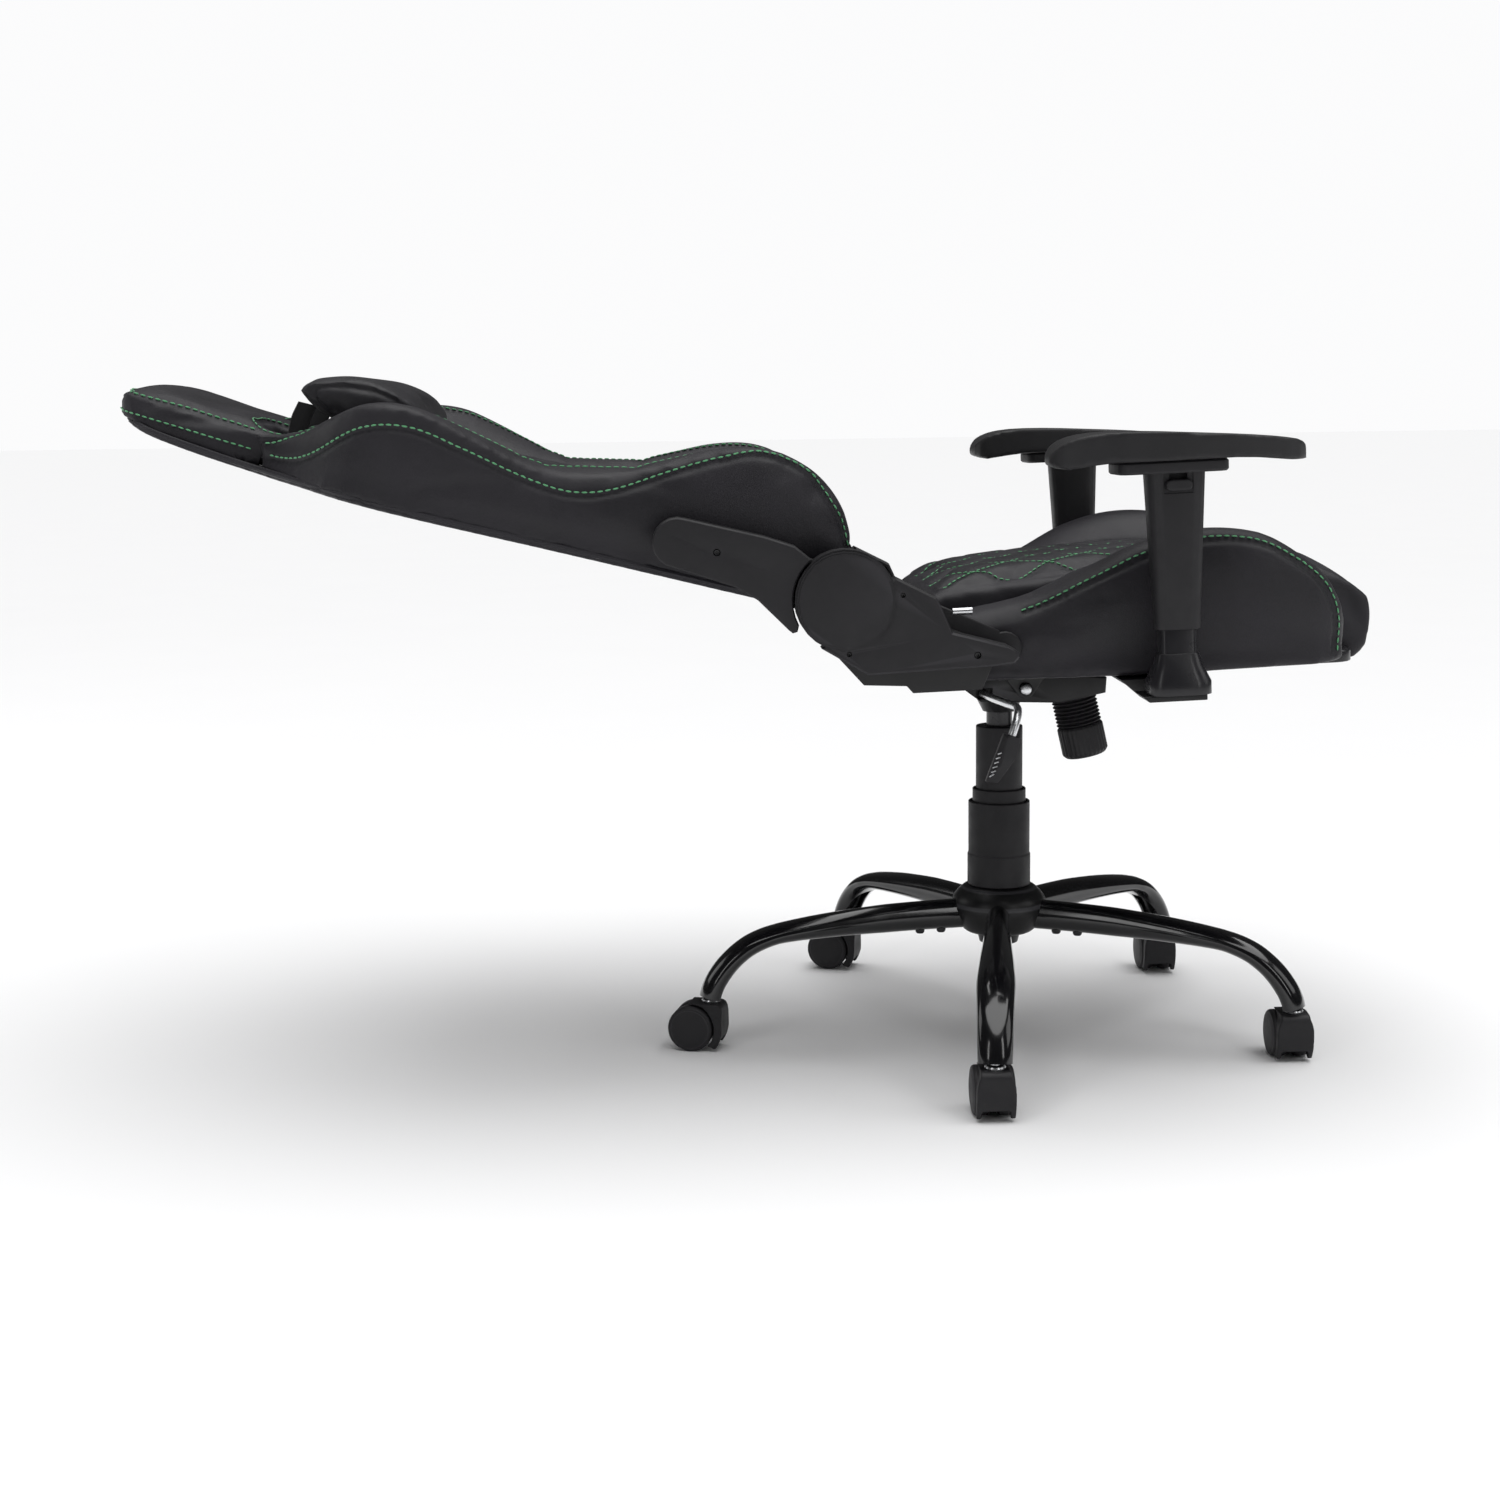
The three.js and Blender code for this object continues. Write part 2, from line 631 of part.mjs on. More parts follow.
function armPadGeometry() {
  const top = [
    [-12, 221], [-21, 231], [-38, 238], [-64, 241], [-105, 240.3], [-153, 237], [-200, 233],
    [-236, 228.5], [-253, 224], [-261, 216],
  ];
  const bottom = [
    [-259, 207], [-240, 207.4], [-205, 211.4], [-184, 212.5], [-66, 212.5], [-46, 210.5], [-27, 208], [-12, 213],
  ];
  const side = sidePlate([...curve(top, 18), ...bottom], ARM.x - 60, ARM.x + 60);
  const plan = planPlate([
    ...curve([[42, -40], [30, -18], [0, -11], [-30, -18], [-42, -40], [-47, -80], [-46, -150], [-40, -205],
      [-26, -246], [0, -259], [26, -246], [40, -205], [46, -150], [47, -80]], 34),
  ], 195, 250);
  return intersect(side, plan.translate(ARM.x, 0, 0));
}

function armButtonGeometry() {
  const stem = box(ARM.x + 10.4, ARM.x + 20, ARM.y - 8, ARM.y + 8, 185.5, 193);
  const grip = sidePlate(roundRect(ARM.y, 189, 25, 11, 4.5), ARM.x + 18.7, ARM.x + 25, 1.2);
  return union(stem, grip);
}

function buildArms(parent) {
  const bracket = armBracketGeometry();
  const post = armPostGeometry();
  const sleeve = armSleeveGeometry();
  const pad = armPadGeometry();
  const button = armButtonGeometry();
  for (const [side, word] of [[RIGHT, 'right'], [LEFT, 'left']]) {
    add(parent, `arm_bracket_${word}`, sided(bracket, side), glossSteel);
    add(parent, `arm_post_${word}`, sided(post, side), satinSteel);
    add(parent, `arm_sleeve_${word}`, sided(sleeve, side), matteBlack);
    add(parent, `arm_pad_${word}`, sided(pad, side), rubbery);
    add(parent, `arm_button_${word}`, sided(button, side), matteBlack);
  }
}

// ---------------------------------------------------------------- recliner

const WING = [
  [134, 113], [95, 91.5], [81, 57], [27, 41], [19, 36], [17, 30], [22, 24.5], [41, 22.5], [164, 20],
  [208, 48],
];

// Seat-side steel bracket: pivot boss, arm and a flange bolted under the pan.
function seatBracketGeometry() {
  const pivot = [RECLINE.y, RECLINE.h];
  const boss = barX(RECLINE.plateRadius, ...RECLINE.seatPlate, ...pivot, 32);
  const arm = sidePlate([
    [150, 118], [104, 92], [86, 60], [40, 42], [34, 30], [50, -4.3], [118, -4.3], [124, 3], [166, 6], [205, 52],
  ], ...RECLINE.seatPlate);
  const flange = box(100, RECLINE.seatPlate[1], 52, 118, -4.3, -GAP);
  const bore = barX(RECLINE.shaftRadius + GAP, 200, 240, ...pivot);
  return subtract(union(boss, arm, flange), bore);
}

// Outline moved inwards by a wall thickness, by pulling each point towards a centre.
function inset(points, centre, wall) {
  return points.map(([a, b]) => {
    const da = centre[0] - a;
    const db = centre[1] - b;
    const length = Math.hypot(da, db);
    return [a + (da / length) * wall, b + (db / length) * wall];
  });
}

function seatCoverGeometry() {
  const pivot = [RECLINE.y, RECLINE.h];
  const [inner, outer] = RECLINE.cover;
  const wing = sidePlate(WING, inner, outer, 2);
  const boss = barX(RECLINE.bossRadius, inner + 2, outer, ...pivot, 28);
  const disc = barX(RECLINE.discRadius, outer - 3, RECLINE.discTop - 1.5, ...pivot, 28);
  const discFace = barX(RECLINE.discRadius - 2, outer, RECLINE.discTop, ...pivot, 28);
  const hollow = sidePlate(inset(WING, [120, 60], 5), inner - 2, outer - 4);
  const bossHollow = barX(RECLINE.bossRadius - 4, inner - 2, outer - 4, ...pivot, 24);
  const plateRoom = barX(RECLINE.bossRadius + 4, inner - 2, RECLINE.backPlate[1] + 2, ...pivot, 24);
  const holes = [[57.8, 34, 3.6], [127.7, 95.5, 2.6], [181.7, 41.4, 2.6]].map(
    ([y, h, r]) => barX(r, outer - 5, outer + 10, y, h, 10));
  return subtract(union(wing, boss, disc, discFace), hollow, bossHollow, plateRoom, ...holes);
}

// Back-side steel bracket, in backrest coordinates.
function backBracketGeometry() {
  const boss = barX(RECLINE.plateRadius, ...RECLINE.backPlate, 0, 0, 32);
  const arm = sidePlate([
    [10, 26], [60, 32], ...arc([170, 15], 15, 80, -80, 6), [80, -12], [10, -30],
  ], ...RECLINE.backPlate);
  const bore = barX(RECLINE.shaftRadius + GAP, 220, 250, 0, 0);
  return subtract(union(boss, arm), bore);
}

function backCoverGeometry() {
  const [inner, outer] = RECLINE.cover;
  const outline = [
    ...arc([170, 15], 24, 95, -95, 10), [107, -13], [82, -20], [46, -41], [41.5, -43], [37.5, -40.5],
    ...arc([0, 0], 50.6, -42, 36, 8), [60, 38.5], [91, 40.5],
  ];
  const body = sidePlate(outline, inner, outer - 1.5, 1.5);
  const hollow = sidePlate([
    ...arc([170, 15], 20, 90, -90, 8), [107, -9], [82, -15], [60, -24], [58, 30], [91, 36],
  ], inner - 2, outer - 5.5);
  const passage = box(inner - 2, RECLINE.backPlate[1] + 2, 30, 70, -31, 33.5);
  const hole = barX(3.6, outer - 8, outer + 10, 131, 15, 14);
  return subtract(body, hollow, passage, hole);
}

function leverBladeGeometry() {
  const pivot = [RECLINE.y, RECLINE.h];
  const hub = barX(17, ...RECLINE.lever, ...pivot, 20);
  const blade = sidePlate([
    [180, 109], [112, 92], [60, 67], [30, 52], ...arc([25, 34], 17, 75, 265, 9), [70, 24], [178, 77],
  ], ...RECLINE.lever, 1);
  const bore = barX(RECLINE.shaftRadius + GAP, 200, 240, ...pivot);
  return mirrored(subtract(union(hub, blade), bore));
}

function buildRecliner(seatParent, backParent) {
  const seatBracket = seatBracketGeometry();
  const backBracket = backBracketGeometry();
  const seatCover = seatCoverGeometry();
  const backCover = backCoverGeometry();
  for (const [side, word] of [[RIGHT, 'right'], [LEFT, 'left']]) {
    add(seatParent, `recliner_seat_bracket_${word}`, sided(seatBracket, side), glossSteel);
    add(seatParent, `recliner_seat_cover_${word}`, sided(seatCover, side), matteBlack);
    add(backParent, `recliner_back_bracket_${word}`, sided(backBracket, side), glossSteel);
    add(backParent, `recliner_back_cover_${word}`, sided(backCover, side), matteBlack);
  }
  add(seatParent, 'recliner_shaft',
    barX(RECLINE.shaftRadius, -243, 243, RECLINE.y, RECLINE.h), satinSteel);
  add(seatParent, 'recline_lever', leverBladeGeometry(), matteBlack);
}

// ---------------------------------------------------------------- backrest

// Half width of the backrest at each s.
const BACK_PLAN = [
  [2, 203], [40, 208], [80, 215], [120, 220], [200, 227], [290, 238], [370, 256], [425, 266], [465, 263],
  [505, 240], [545, 196], [580, 165], [600, 155],
];

const BACK_REAR = [
  [14, -22], [120, -22.5], [300, -23], [440, -23], [514, -23.5], [581, -24], [644, -20], [704, -13], [747, -6],
];

const SIDE_TOP = [
  [14, 14], [0, 36], [-1, 50], [7, 66], [19, 86], [33, 99], [56, 114], [78, 121], [103, 124], [126, 121],
  [150, 113], [170, 104], [209, 84], [232, 73], [269, 61], [300, 54], [326, 54], [356, 61], [389, 70],
  [422, 78], [443, 81], [467, 79.5], [486, 74], [502, 66], [527, 48], [551, 30], [575, 20], [598, 16],
];

const CORE_TOP = [
  [14, 12], [10, 34], [18, 52], [45, 68], [85, 78], [130, 78], [180, 68], [240, 54], [300, 45], [370, 42],
  [450, 40], [520, 32], [580, 24], [640, 23], [700, 29], [728, 29],
];

function raised(points, lift) {
  return points.map(([s, t]) => [s, t + lift]);
}

function backPlanPlate(inner, tFrom, tTo, slack) {
  const outer = curve(BACK_PLAN.map(([s, half]) => [half - slack, s]), 26);
  return planPlate([[inner, 2], ...outer, [inner, 600]], tFrom, tTo);
}

function backBolsterGeometry() {
  const rear = raised(curve(BACK_REAR, 16), BACK.shellThick + 0.5).filter(([s]) => s < 600);
  const side = sidePlate([...curve(SIDE_TOP, 44), ...rear.reverse()], BACK.sideInner, 280);
  return intersect(side, backPlanPlate(120, -60, 160, 0));
}

function slotCutters(depthFrom, depthTo) {
  return [RIGHT, LEFT].map((side) => planPlate(
    roundRect(side * BACK.slotX, BACK.slotS, BACK.slotLength, BACK.slotWidth, 14), depthFrom, depthTo));
}

// The middle panel lies on the frame; at the head its foam wraps round the frame hoop.
function backCoreGeometry() {
  const line = curve(BACK_REAR, 20);
  const rear = [
    ...raised(line.filter(([s]) => s < 600), 2 * BACK.frameRadius + BACK.shellThick + 3),
    ...raised(line.filter(([s]) => s > 605), BACK.shellThick + 0.5),
  ];
  const side = sidePlate([...curve(CORE_TOP, 32), [749, 23], ...rear.reverse()],
    -BACK.coreHalf, BACK.coreHalf);
  const plan = planPlate([
    [-146, 0], [146, 0], ...curve([[146, 600], [146, 692], [138, 726], [108, 745], [0, 750], [-108, 745],
      [-138, 726], [-146, 692], [-146, 600]], 18),
  ], -60, 120);
  return subtract(intersect(side, plan), frameGeometry(BACK.frameRadius + GAP), ...slotCutters(-60, 120));
}

function rearCoverGeometry() {
  const rear = curve(BACK_REAR, 20);
  const inside = raised(rear, BACK.shellThick).reverse();
  const side = sidePlate([...rear, ...inside], -280, 280);
  const half = curve(BACK_PLAN.map(([s, w]) => [w - 1, s]), 26);
  const head = curve([[152, 612], [150, 692], [140, 726], [108, 742], [0, 745]], 12);
  const outline = [...half, ...head];
  const whole = [...outline, ...outline.slice(0, -1).reverse().map(([x, s]) => [-x, s])];
  return subtract(intersect(side, planPlate(whole, -60, 40)), ...slotCutters(-60, 40));
}

// The hoop and rails, or with a larger radius the room they take in the foam.
function frameGeometry(radius = BACK.frameRadius) {
  const level = (s) => along(BACK_REAR, s) + BACK.shellThick + 1 + BACK.frameRadius;
  const at = (x, s) => new THREE.Vector3(x, s, level(s));
  const half = BACK.frameHalf;
  const path = new THREE.CatmullRomCurve3([
    at(-half, 30), at(-half, 120), at(-half, 300), at(-half, 460), at(-half, 560), at(-half + 2, 640),
    at(-half + 10, 690), at(-half + 40, 714), at(-60, 718), at(0, 718), at(60, 718), at(half - 40, 714),
    at(half - 10, 690), at(half - 2, 640), at(half, 560), at(half, 460), at(half, 300), at(half, 120),
    at(half, 30),
  ]);
  const ring = new THREE.Shape();
  ring.absarc(0, 0, radius, 0, Math.PI * 2, false);
  const hoop = new THREE.ExtrudeGeometry(ring, { steps: 24, curveSegments: 2, extrudePath: path });
  const rails = [60, 430].map((s) => barX(radius - 1, -half, half, s, level(s), 12));
  return union(hoop, ...rails);
}

function pillowGeometry() {
  const side = sidePlate(curve([
    [437, 60], [452, 50], [478, 46], [510, 44], [545, 43], [568, 44], [579, 52], [573, 64], [558, 75],
    [537, 85], [514, 90], [488, 90], [460, 83], [442, 72], [437, 60],
  ], 28), -140, 140);
  const plan = planPlate(roundRect(0, 508, 278, 146, 34, 5), 20, 110);
  return intersect(side, plan);
}

// Webbing that runs through both slots and behind the bridge between them.
function strapGeometry() {
  const s = BACK.slotS - 5;
  const rear = along(BACK_REAR, s);
  const outline = [
    [-56, 40], [-56, rear - 1.5], [56, rear - 1.5], [56, 40], [58, 40], [58, rear - 3.5],
    [-58, rear - 3.5], [-58, 40],
  ];
  return frontPlate(outline, s - 10, s + 10);
}

function buildBackrest(parent) {
  const bolster = backBolsterGeometry();
  add(parent, 'back_bolster_right', mirrored(bolster), leather);
  add(parent, 'back_bolster_left', bolster, leather);
  add(parent, 'back_cushion', backCoreGeometry(), leather);
  add(parent, 'back_rear_cover', rearCoverGeometry(), leather);
  add(parent, 'back_frame', frameGeometry(), satinSteel);
  add(parent, 'neck_pillow', pillowGeometry(), piping);
  add(parent, 'pillow_strap', strapGeometry(), rubbery);
  const rear = along(BACK_REAR, 405);
  add(parent, 'strap_buckle', planPlate(roundRect(0, 414, 52, 46, 6), rear - 15, rear - GAP, 1.5), rubbery);
}

// ---------------------------------------------------------------- assembly

const chair = new THREE.Group();
chair.position.set(PLACE.x, PLACE.y, 0);

const seatGroup = new THREE.Group();
seatGroup.position.set(0, 0, SEAT.underside);
seatGroup.rotation.x = -rad(SEAT.noseUp);
chair.add(seatGroup);

const backGroup = new THREE.Group();
backGroup.position.set(0, RECLINE.y, RECLINE.h);
backGroup.rotation.x = rad(RECLINE.restAngle);
seatGroup.add(backGroup);

buildBase(chair);
buildCasters(chair);
buildGasLift(chair);
buildMechanism(chair);
buildSeat(seatGroup);
buildArms(seatGroup);
buildRecliner(seatGroup, backGroup);
buildBackrest(backGroup);

const group = new THREE.Group();
group.add(chair);

export default group;
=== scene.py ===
"""Looks of a reclining racing-style gaming chair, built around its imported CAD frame."""

import json
import math

import bmesh
import bpy
import numpy as np
from mathutils import Matrix, Vector
from mathutils.bvhtree import BVHTree


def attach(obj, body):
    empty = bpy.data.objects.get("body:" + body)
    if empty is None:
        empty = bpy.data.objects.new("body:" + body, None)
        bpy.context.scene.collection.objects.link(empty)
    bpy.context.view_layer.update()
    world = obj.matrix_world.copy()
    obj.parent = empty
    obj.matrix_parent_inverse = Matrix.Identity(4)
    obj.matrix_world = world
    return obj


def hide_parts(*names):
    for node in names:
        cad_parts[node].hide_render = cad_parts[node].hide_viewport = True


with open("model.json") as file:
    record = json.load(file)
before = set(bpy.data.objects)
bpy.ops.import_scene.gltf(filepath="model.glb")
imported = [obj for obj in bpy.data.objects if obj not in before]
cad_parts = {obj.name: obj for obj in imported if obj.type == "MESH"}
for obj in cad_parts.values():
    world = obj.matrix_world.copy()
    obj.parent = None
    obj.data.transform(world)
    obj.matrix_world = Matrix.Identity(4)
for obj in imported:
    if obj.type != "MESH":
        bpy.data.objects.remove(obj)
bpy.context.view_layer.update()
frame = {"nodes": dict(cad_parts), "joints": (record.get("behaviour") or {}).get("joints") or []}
NODES = frame["nodes"]
JOINTS = {joint["name"]: joint for joint in frame["joints"]}
SIDES = {"right": -1, "left": 1}

# ---------------------------------------------------------------- the chair's own frames

SEAT_NOSE_UP = math.radians(2)
SEAT_UNDERSIDE = 0.415
BACK_REST_ANGLE = math.radians(16.7)
CENTRE = Vector(JOINTS["seat_swivel"]["pos_m"][:2] + [0])
PIVOT = Vector(JOINTS["backrest_recline"]["pos_m"])

# Seat coordinates (x to the left, y to the rear, h up from the underside of the seat)
SEAT = Matrix.Translation(CENTRE + Vector((0, 0, SEAT_UNDERSIDE))) @ Matrix.Rotation(-SEAT_NOSE_UP, 4, "X")
# Back coordinates (x to the left, s along the backrest from its hinge, t towards the sitter)
BACK = Matrix.Translation(PIVOT) @ Matrix.Rotation(BACK_REST_ANGLE - SEAT_NOSE_UP, 4, "X")
CHAIR = Matrix.Translation(CENTRE)


def into(matrix, points):
    """Row-frame points in the coordinates of one of the frames above."""
    inverse = np.array(matrix.inverted())
    return points @ inverse[:3, :3].T + inverse[:3, 3]


def out_of(matrix, points):
    """The way back from into()."""
    forward = np.array(matrix)
    return points @ forward[:3, :3].T + forward[:3, 3]


# ---------------------------------------------------------------- meshes

def coordinates(obj):
    flat = np.zeros(len(obj.data.vertices) * 3)
    obj.data.vertices.foreach_get("co", flat)
    return flat.reshape(-1, 3)


def set_coordinates(obj, points):
    obj.data.vertices.foreach_set("co", np.ascontiguousarray(points).ravel())
    obj.data.update()


def normals(obj):
    flat = np.zeros(len(obj.data.vertices) * 3)
    obj.data.vertices.foreach_get("normal", flat)
    return flat.reshape(-1, 3)


def new_object(name, mesh):
    obj = bpy.data.objects.new(name, mesh)
    bpy.context.scene.collection.objects.link(obj)
    return obj


def object_from(name, points, faces):
    mesh = bpy.data.meshes.new(name)
    mesh.from_pydata([tuple(p) for p in points], [], faces)
    mesh.validate()
    return new_object(name, mesh)


def object_from_bmesh(name, bm):
    mesh = bpy.data.meshes.new(name)
    bm.to_mesh(mesh)
    bm.free()
    return new_object(name, mesh)


def smooth_shaded(obj, sharp_angle=35):
    obj.data.polygons.foreach_set("use_smooth", [True] * len(obj.data.polygons))
    obj.data.set_sharp_from_angle(angle=math.radians(sharp_angle))
    return obj


def finished(obj, material, body, slot, *replaced):
    """A piece with its material, riding on its body and standing for the CAD nodes it replaces."""
    obj.data.materials.clear()
    obj.data.materials.append(material)
    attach(obj, body)
    if replaced:
        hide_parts(*replaced)
    return obj


def welded(node):
    """The node's solid as a bmesh with shared vertices and whole flat faces."""
    bm = bmesh.new()
    bm.from_mesh(NODES[node].data)
    bmesh.ops.remove_doubles(bm, verts=bm.verts, dist=1e-5)
    bmesh.ops.dissolve_limit(bm, angle_limit=math.radians(0.7), verts=bm.verts, edges=bm.edges)
    return bm


def break_edges(bm, width, segments, from_angle):
    sharp = [e for e in bm.edges if e.is_manifold and e.calc_face_angle(0) > math.radians(from_angle)]
    bmesh.ops.bevel(bm, geom=sharp, offset=width, segments=segments, profile=0.6, affect="EDGES",
                    clamp_overlap=True)


def bevelled(node, width=0.0008, segments=2, from_angle=28):
    """The node's solid with its real edges broken, as a moulded or pressed part has them."""
    bm = welded(node)
    break_edges(bm, width, segments, from_angle)
    return smooth_shaded(object_from_bmesh(node + "_part", bm), 40)


def apply_modifiers(obj):
    graph = bpy.context.evaluated_depsgraph_get()
    mesh = bpy.data.meshes.new_from_object(obj.evaluated_get(graph))
    obj.modifiers.clear()
    obj.data = mesh


def remeshed(name, node, voxel, smoothing=0):
    """An even mesh of the node's solid, its edges rounded by about a voxel."""
    obj = object_from_bmesh(name, welded(node))
    remesh = obj.modifiers.new("voxels", "REMESH")
    remesh.mode = "VOXEL"
    remesh.voxel_size = voxel
    apply_modifiers(obj)
    relax(obj, smoothing)
    return obj


def relax(obj, iterations):
    if iterations:
        modifier = obj.modifiers.new("relax", "SMOOTH")
        modifier.iterations = iterations
        modifier.factor = 0.5
        apply_modifiers(obj)


def subdivided(obj):
    modifier = obj.modifiers.new("finer", "SUBSURF")
    modifier.levels = 1
    apply_modifiers(obj)
    obj.data.polygons.foreach_set("use_smooth", [True] * len(obj.data.polygons))
    return obj


def mirror_image(name, obj):
    """The same piece on the other side of the chair."""
    points = coordinates(obj)
    points[:, 0] = 2 * CENTRE.x - points[:, 0]
    twin = new_object(name, obj.data.copy())
    set_coordinates(twin, points)
    twin.data.flip_normals()
    return twin


def surface(obj):
    return BVHTree.FromPolygons([v.co for v in obj.data.vertices], [p.vertices for p in obj.data.polygons])


# ---------------------------------------------------------------- stuffing

SIM_FRAMES = 20
PRESSURE = 4.0
SWELL_LIMIT = 0.006
PANEL_VOXEL = 0.006
BOLSTER_VOXEL = 0.0055


def inflate(obj, held):
    """Cloth under inside pressure; held(points) marks what is glued or rests on something."""
    before = coordinates(obj)
    group = obj.vertex_groups.new(name="held")
    group.add([int(i) for i in np.flatnonzero(held(before) > 0.5)], 1.0, "REPLACE")
    cloth = obj.modifiers.new("cloth", "CLOTH")
    cloth.settings.use_pressure = True
    cloth.settings.uniform_pressure_force = PRESSURE
    cloth.settings.effector_weights.gravity = 0
    cloth.settings.vertex_group_mass = "held"
    scene = bpy.context.scene
    for number in range(1, SIM_FRAMES + 1):
        scene.frame_set(number)
    graph = bpy.context.evaluated_depsgraph_get()
    after = coordinates(obj.evaluated_get(graph))
    obj.modifiers.remove(cloth)
    obj.vertex_groups.clear()
    scene.frame_set(1)
    step = after - before
    length = np.linalg.norm(step, axis=1, keepdims=True)
    set_coordinates(obj, before + step * np.minimum(1, SWELL_LIMIT / np.maximum(length, 1e-9)))


def extent(points, along, value, step=0.012, rule=np.max):
    """Largest value in each short stretch along a direction, as a function."""
    low, high = points[:, along].min(), points[:, along].max()
    count = max(4, int((high - low) / step))
    edges = np.linspace(low, high, count + 1)
    places, values = [], []
    for a, b in zip(edges, edges[1:]):
        inside = points[(points[:, along] >= a) & (points[:, along] <= b)]
        if len(inside):
            places.append((a + b) / 2)
            values.append(rule(inside[:, value]))
    return lambda at: np.interp(at, places, values)


def half_width(points, step=0.012):
    """Largest distance from the middle plane in each short stretch, as a function."""
    return extent(np.column_stack([np.abs(points[:, 0]), points[:, 1]]), 1, 0, step)


def crown_bolster(obj, matrix, inner, core_top, base, crest, outer_drop, bulge):
    """Rounds a bolster across its width: highest at crest, down to the middle panel on the inside."""
    points = into(matrix, coordinates(obj))
    side = np.sign(points[:, 0].mean())
    width = np.abs(points[:, 0])
    outer = half_width(points)(points[:, 1])
    top = extent(points, 1, 2)(points[:, 1])
    across = np.clip((width - inner) / np.maximum(outer - inner, 0.01), 0, 1)
    up = np.clip((points[:, 2] - base) / np.maximum(top - base, 0.01), 0, 1)
    inner_drop = np.maximum(0, top - core_top(points[:, 1])) * 0.9
    drop = inner_drop * np.clip(1 - across / crest, 0, 1) ** 2
    drop += outer_drop * np.clip((across - crest) / (1 - crest), 0, 1) ** 3
    points[:, 2] -= drop * up ** 2
    points[:, 0] += side * bulge * np.sin(np.pi * np.clip(up, 0, 1)) * across ** 2
    set_coordinates(obj, out_of(matrix, points))


def near_path(points, path):
    """Distance of each point to a path of closely spaced points."""
    best = np.full(len(points), 1e9)
    for place in path:
        best = np.minimum(best, ((points - place) ** 2).sum(1))
    return np.sqrt(best)


def groove(obj, paths, width=0.006, depth=0.0035):
    """Pulls the surface in along sewn seams."""
    points = coordinates(obj)
    inward = normals(obj)
    pull = np.zeros(len(points))
    for path in paths:
        dense = evenly(path, 0.003)
        low, high = dense.min(0) - width, dense.max(0) + width
        close = np.flatnonzero(((points > low) & (points < high)).all(1))
        distance = near_path(points[close], dense)
        pull[close] = np.maximum(pull[close], depth * np.clip(1 - distance / width, 0, 1) ** 1.5)
    set_coordinates(obj, points - inward * pull[:, None])


# ---------------------------------------------------------------- lines, threads, tubes

def reach_along(path):
    """The distance along a path to each of its points."""
    return np.concatenate([[0], np.cumsum(np.linalg.norm(np.diff(path, axis=0), axis=1))])


def points_at(path, reach, at):
    return np.column_stack([np.interp(at, reach, path[:, k]) for k in range(3)])


def evenly(path, spacing):
    """The path again, with points at an even spacing."""
    path = np.asarray(path, float)
    reach = reach_along(path)
    count = max(2, int(reach[-1] / spacing) + 1)
    return points_at(path, reach, np.linspace(0, reach[-1], count))


def rounded(path, spacing=0.004, passes=2):
    """The path at an even spacing with its corners eased."""
    path = evenly(path, spacing)
    for _ in range(passes):
        path[1:-1] = (path[:-2] + 2 * path[1:-1] + path[2:]) / 4
    return path


def laid_on(path, tree, lift=0.0):
    """The path moved onto the nearest surface, lifted off it by a small height."""
    placed = []
    for point in path:
        spot, normal, _, _ = tree.find_nearest(Vector(point))
        placed.append(spot + normal * lift)
    return np.array(placed)


def ring_faces(rings, sides, closed=True):
    """Quads between rings of points, and a face over each end where it is closed."""
    faces = []
    for ring in range(rings - 1):
        for k in range(sides):
            a = ring * sides + k
            b = ring * sides + (k + 1) % sides
            faces.append((a, b, b + sides, a + sides))
    if closed:
        faces.append(tuple(reversed(range(sides))))
        faces.append(tuple(range((rings - 1) * sides, rings * sides)))
    return faces


def swept(path, radius, sides=8):
    """Points and faces of a round closed bar along a path; radius is a number or a list."""
    path = np.asarray(path, float)
    radii = np.full(len(path), radius) if np.isscalar(radius) else np.asarray(radius)
    tangents = np.gradient(path, axis=0)
    tangents /= np.linalg.norm(tangents, axis=1, keepdims=True)
    points = []
    across = Vector(tangents[0]).orthogonal().normalized()
    for index, (place, tangent) in enumerate(zip(path, tangents)):
        tangent = Vector(tangent)
        across = (across - tangent * across.dot(tangent)).normalized()
        up = tangent.cross(across)
        for k in range(sides):
            angle = 2 * math.pi * k / sides
            offset = across * math.cos(angle) + up * math.sin(angle)
            points.append(Vector(place) + offset * radii[index])
    return points, ring_faces(len(path), sides)


def joined(name, parts):
    """One mesh object from several (points, faces) pairs."""
    points, faces = [], []
    for some_points, some_faces in parts:
        offset = len(points)
        points.extend(some_points)
        faces.extend(tuple(i + offset for i in face) for face in some_faces)
    return object_from(name, points, faces)


def made(name, parts, angle, *finish):
    """A finished piece from (points, faces) pairs, smooth up to an angle in degrees."""
    return finished(smooth_shaded(joined(name, parts), angle), *finish)


def stitches(name, paths, tree, pitch=0.0076, length=0.0054, radius=0.0009, lift=0.0009):
    """Rows of short raised threads along paths on a surface."""
    parts = []
    for path in paths:
        reach = reach_along(path)
        for start in np.arange(0, reach[-1] - length, pitch):
            at = start + length * np.array([0, 0.2, 0.5, 0.8, 1])
            line = laid_on(points_at(path, reach, at), tree, lift)
            parts.append(swept(line, radius * np.array([0.35, 0.85, 1, 0.85, 0.35]), 6))
    return smooth_shaded(joined(name, parts), 70)


def turned(profile, matrix, sides=64, closed=True):
    """Points and faces of a body turned about the local z axis from an (r, z) profile in metres."""
    points = []
    for r, z in profile:
        for k in range(sides):
            angle = 2 * math.pi * k / sides
            points.append(matrix @ Vector((r * math.cos(angle), r * math.sin(angle), z)))
    return points, ring_faces(len(profile), sides, closed)


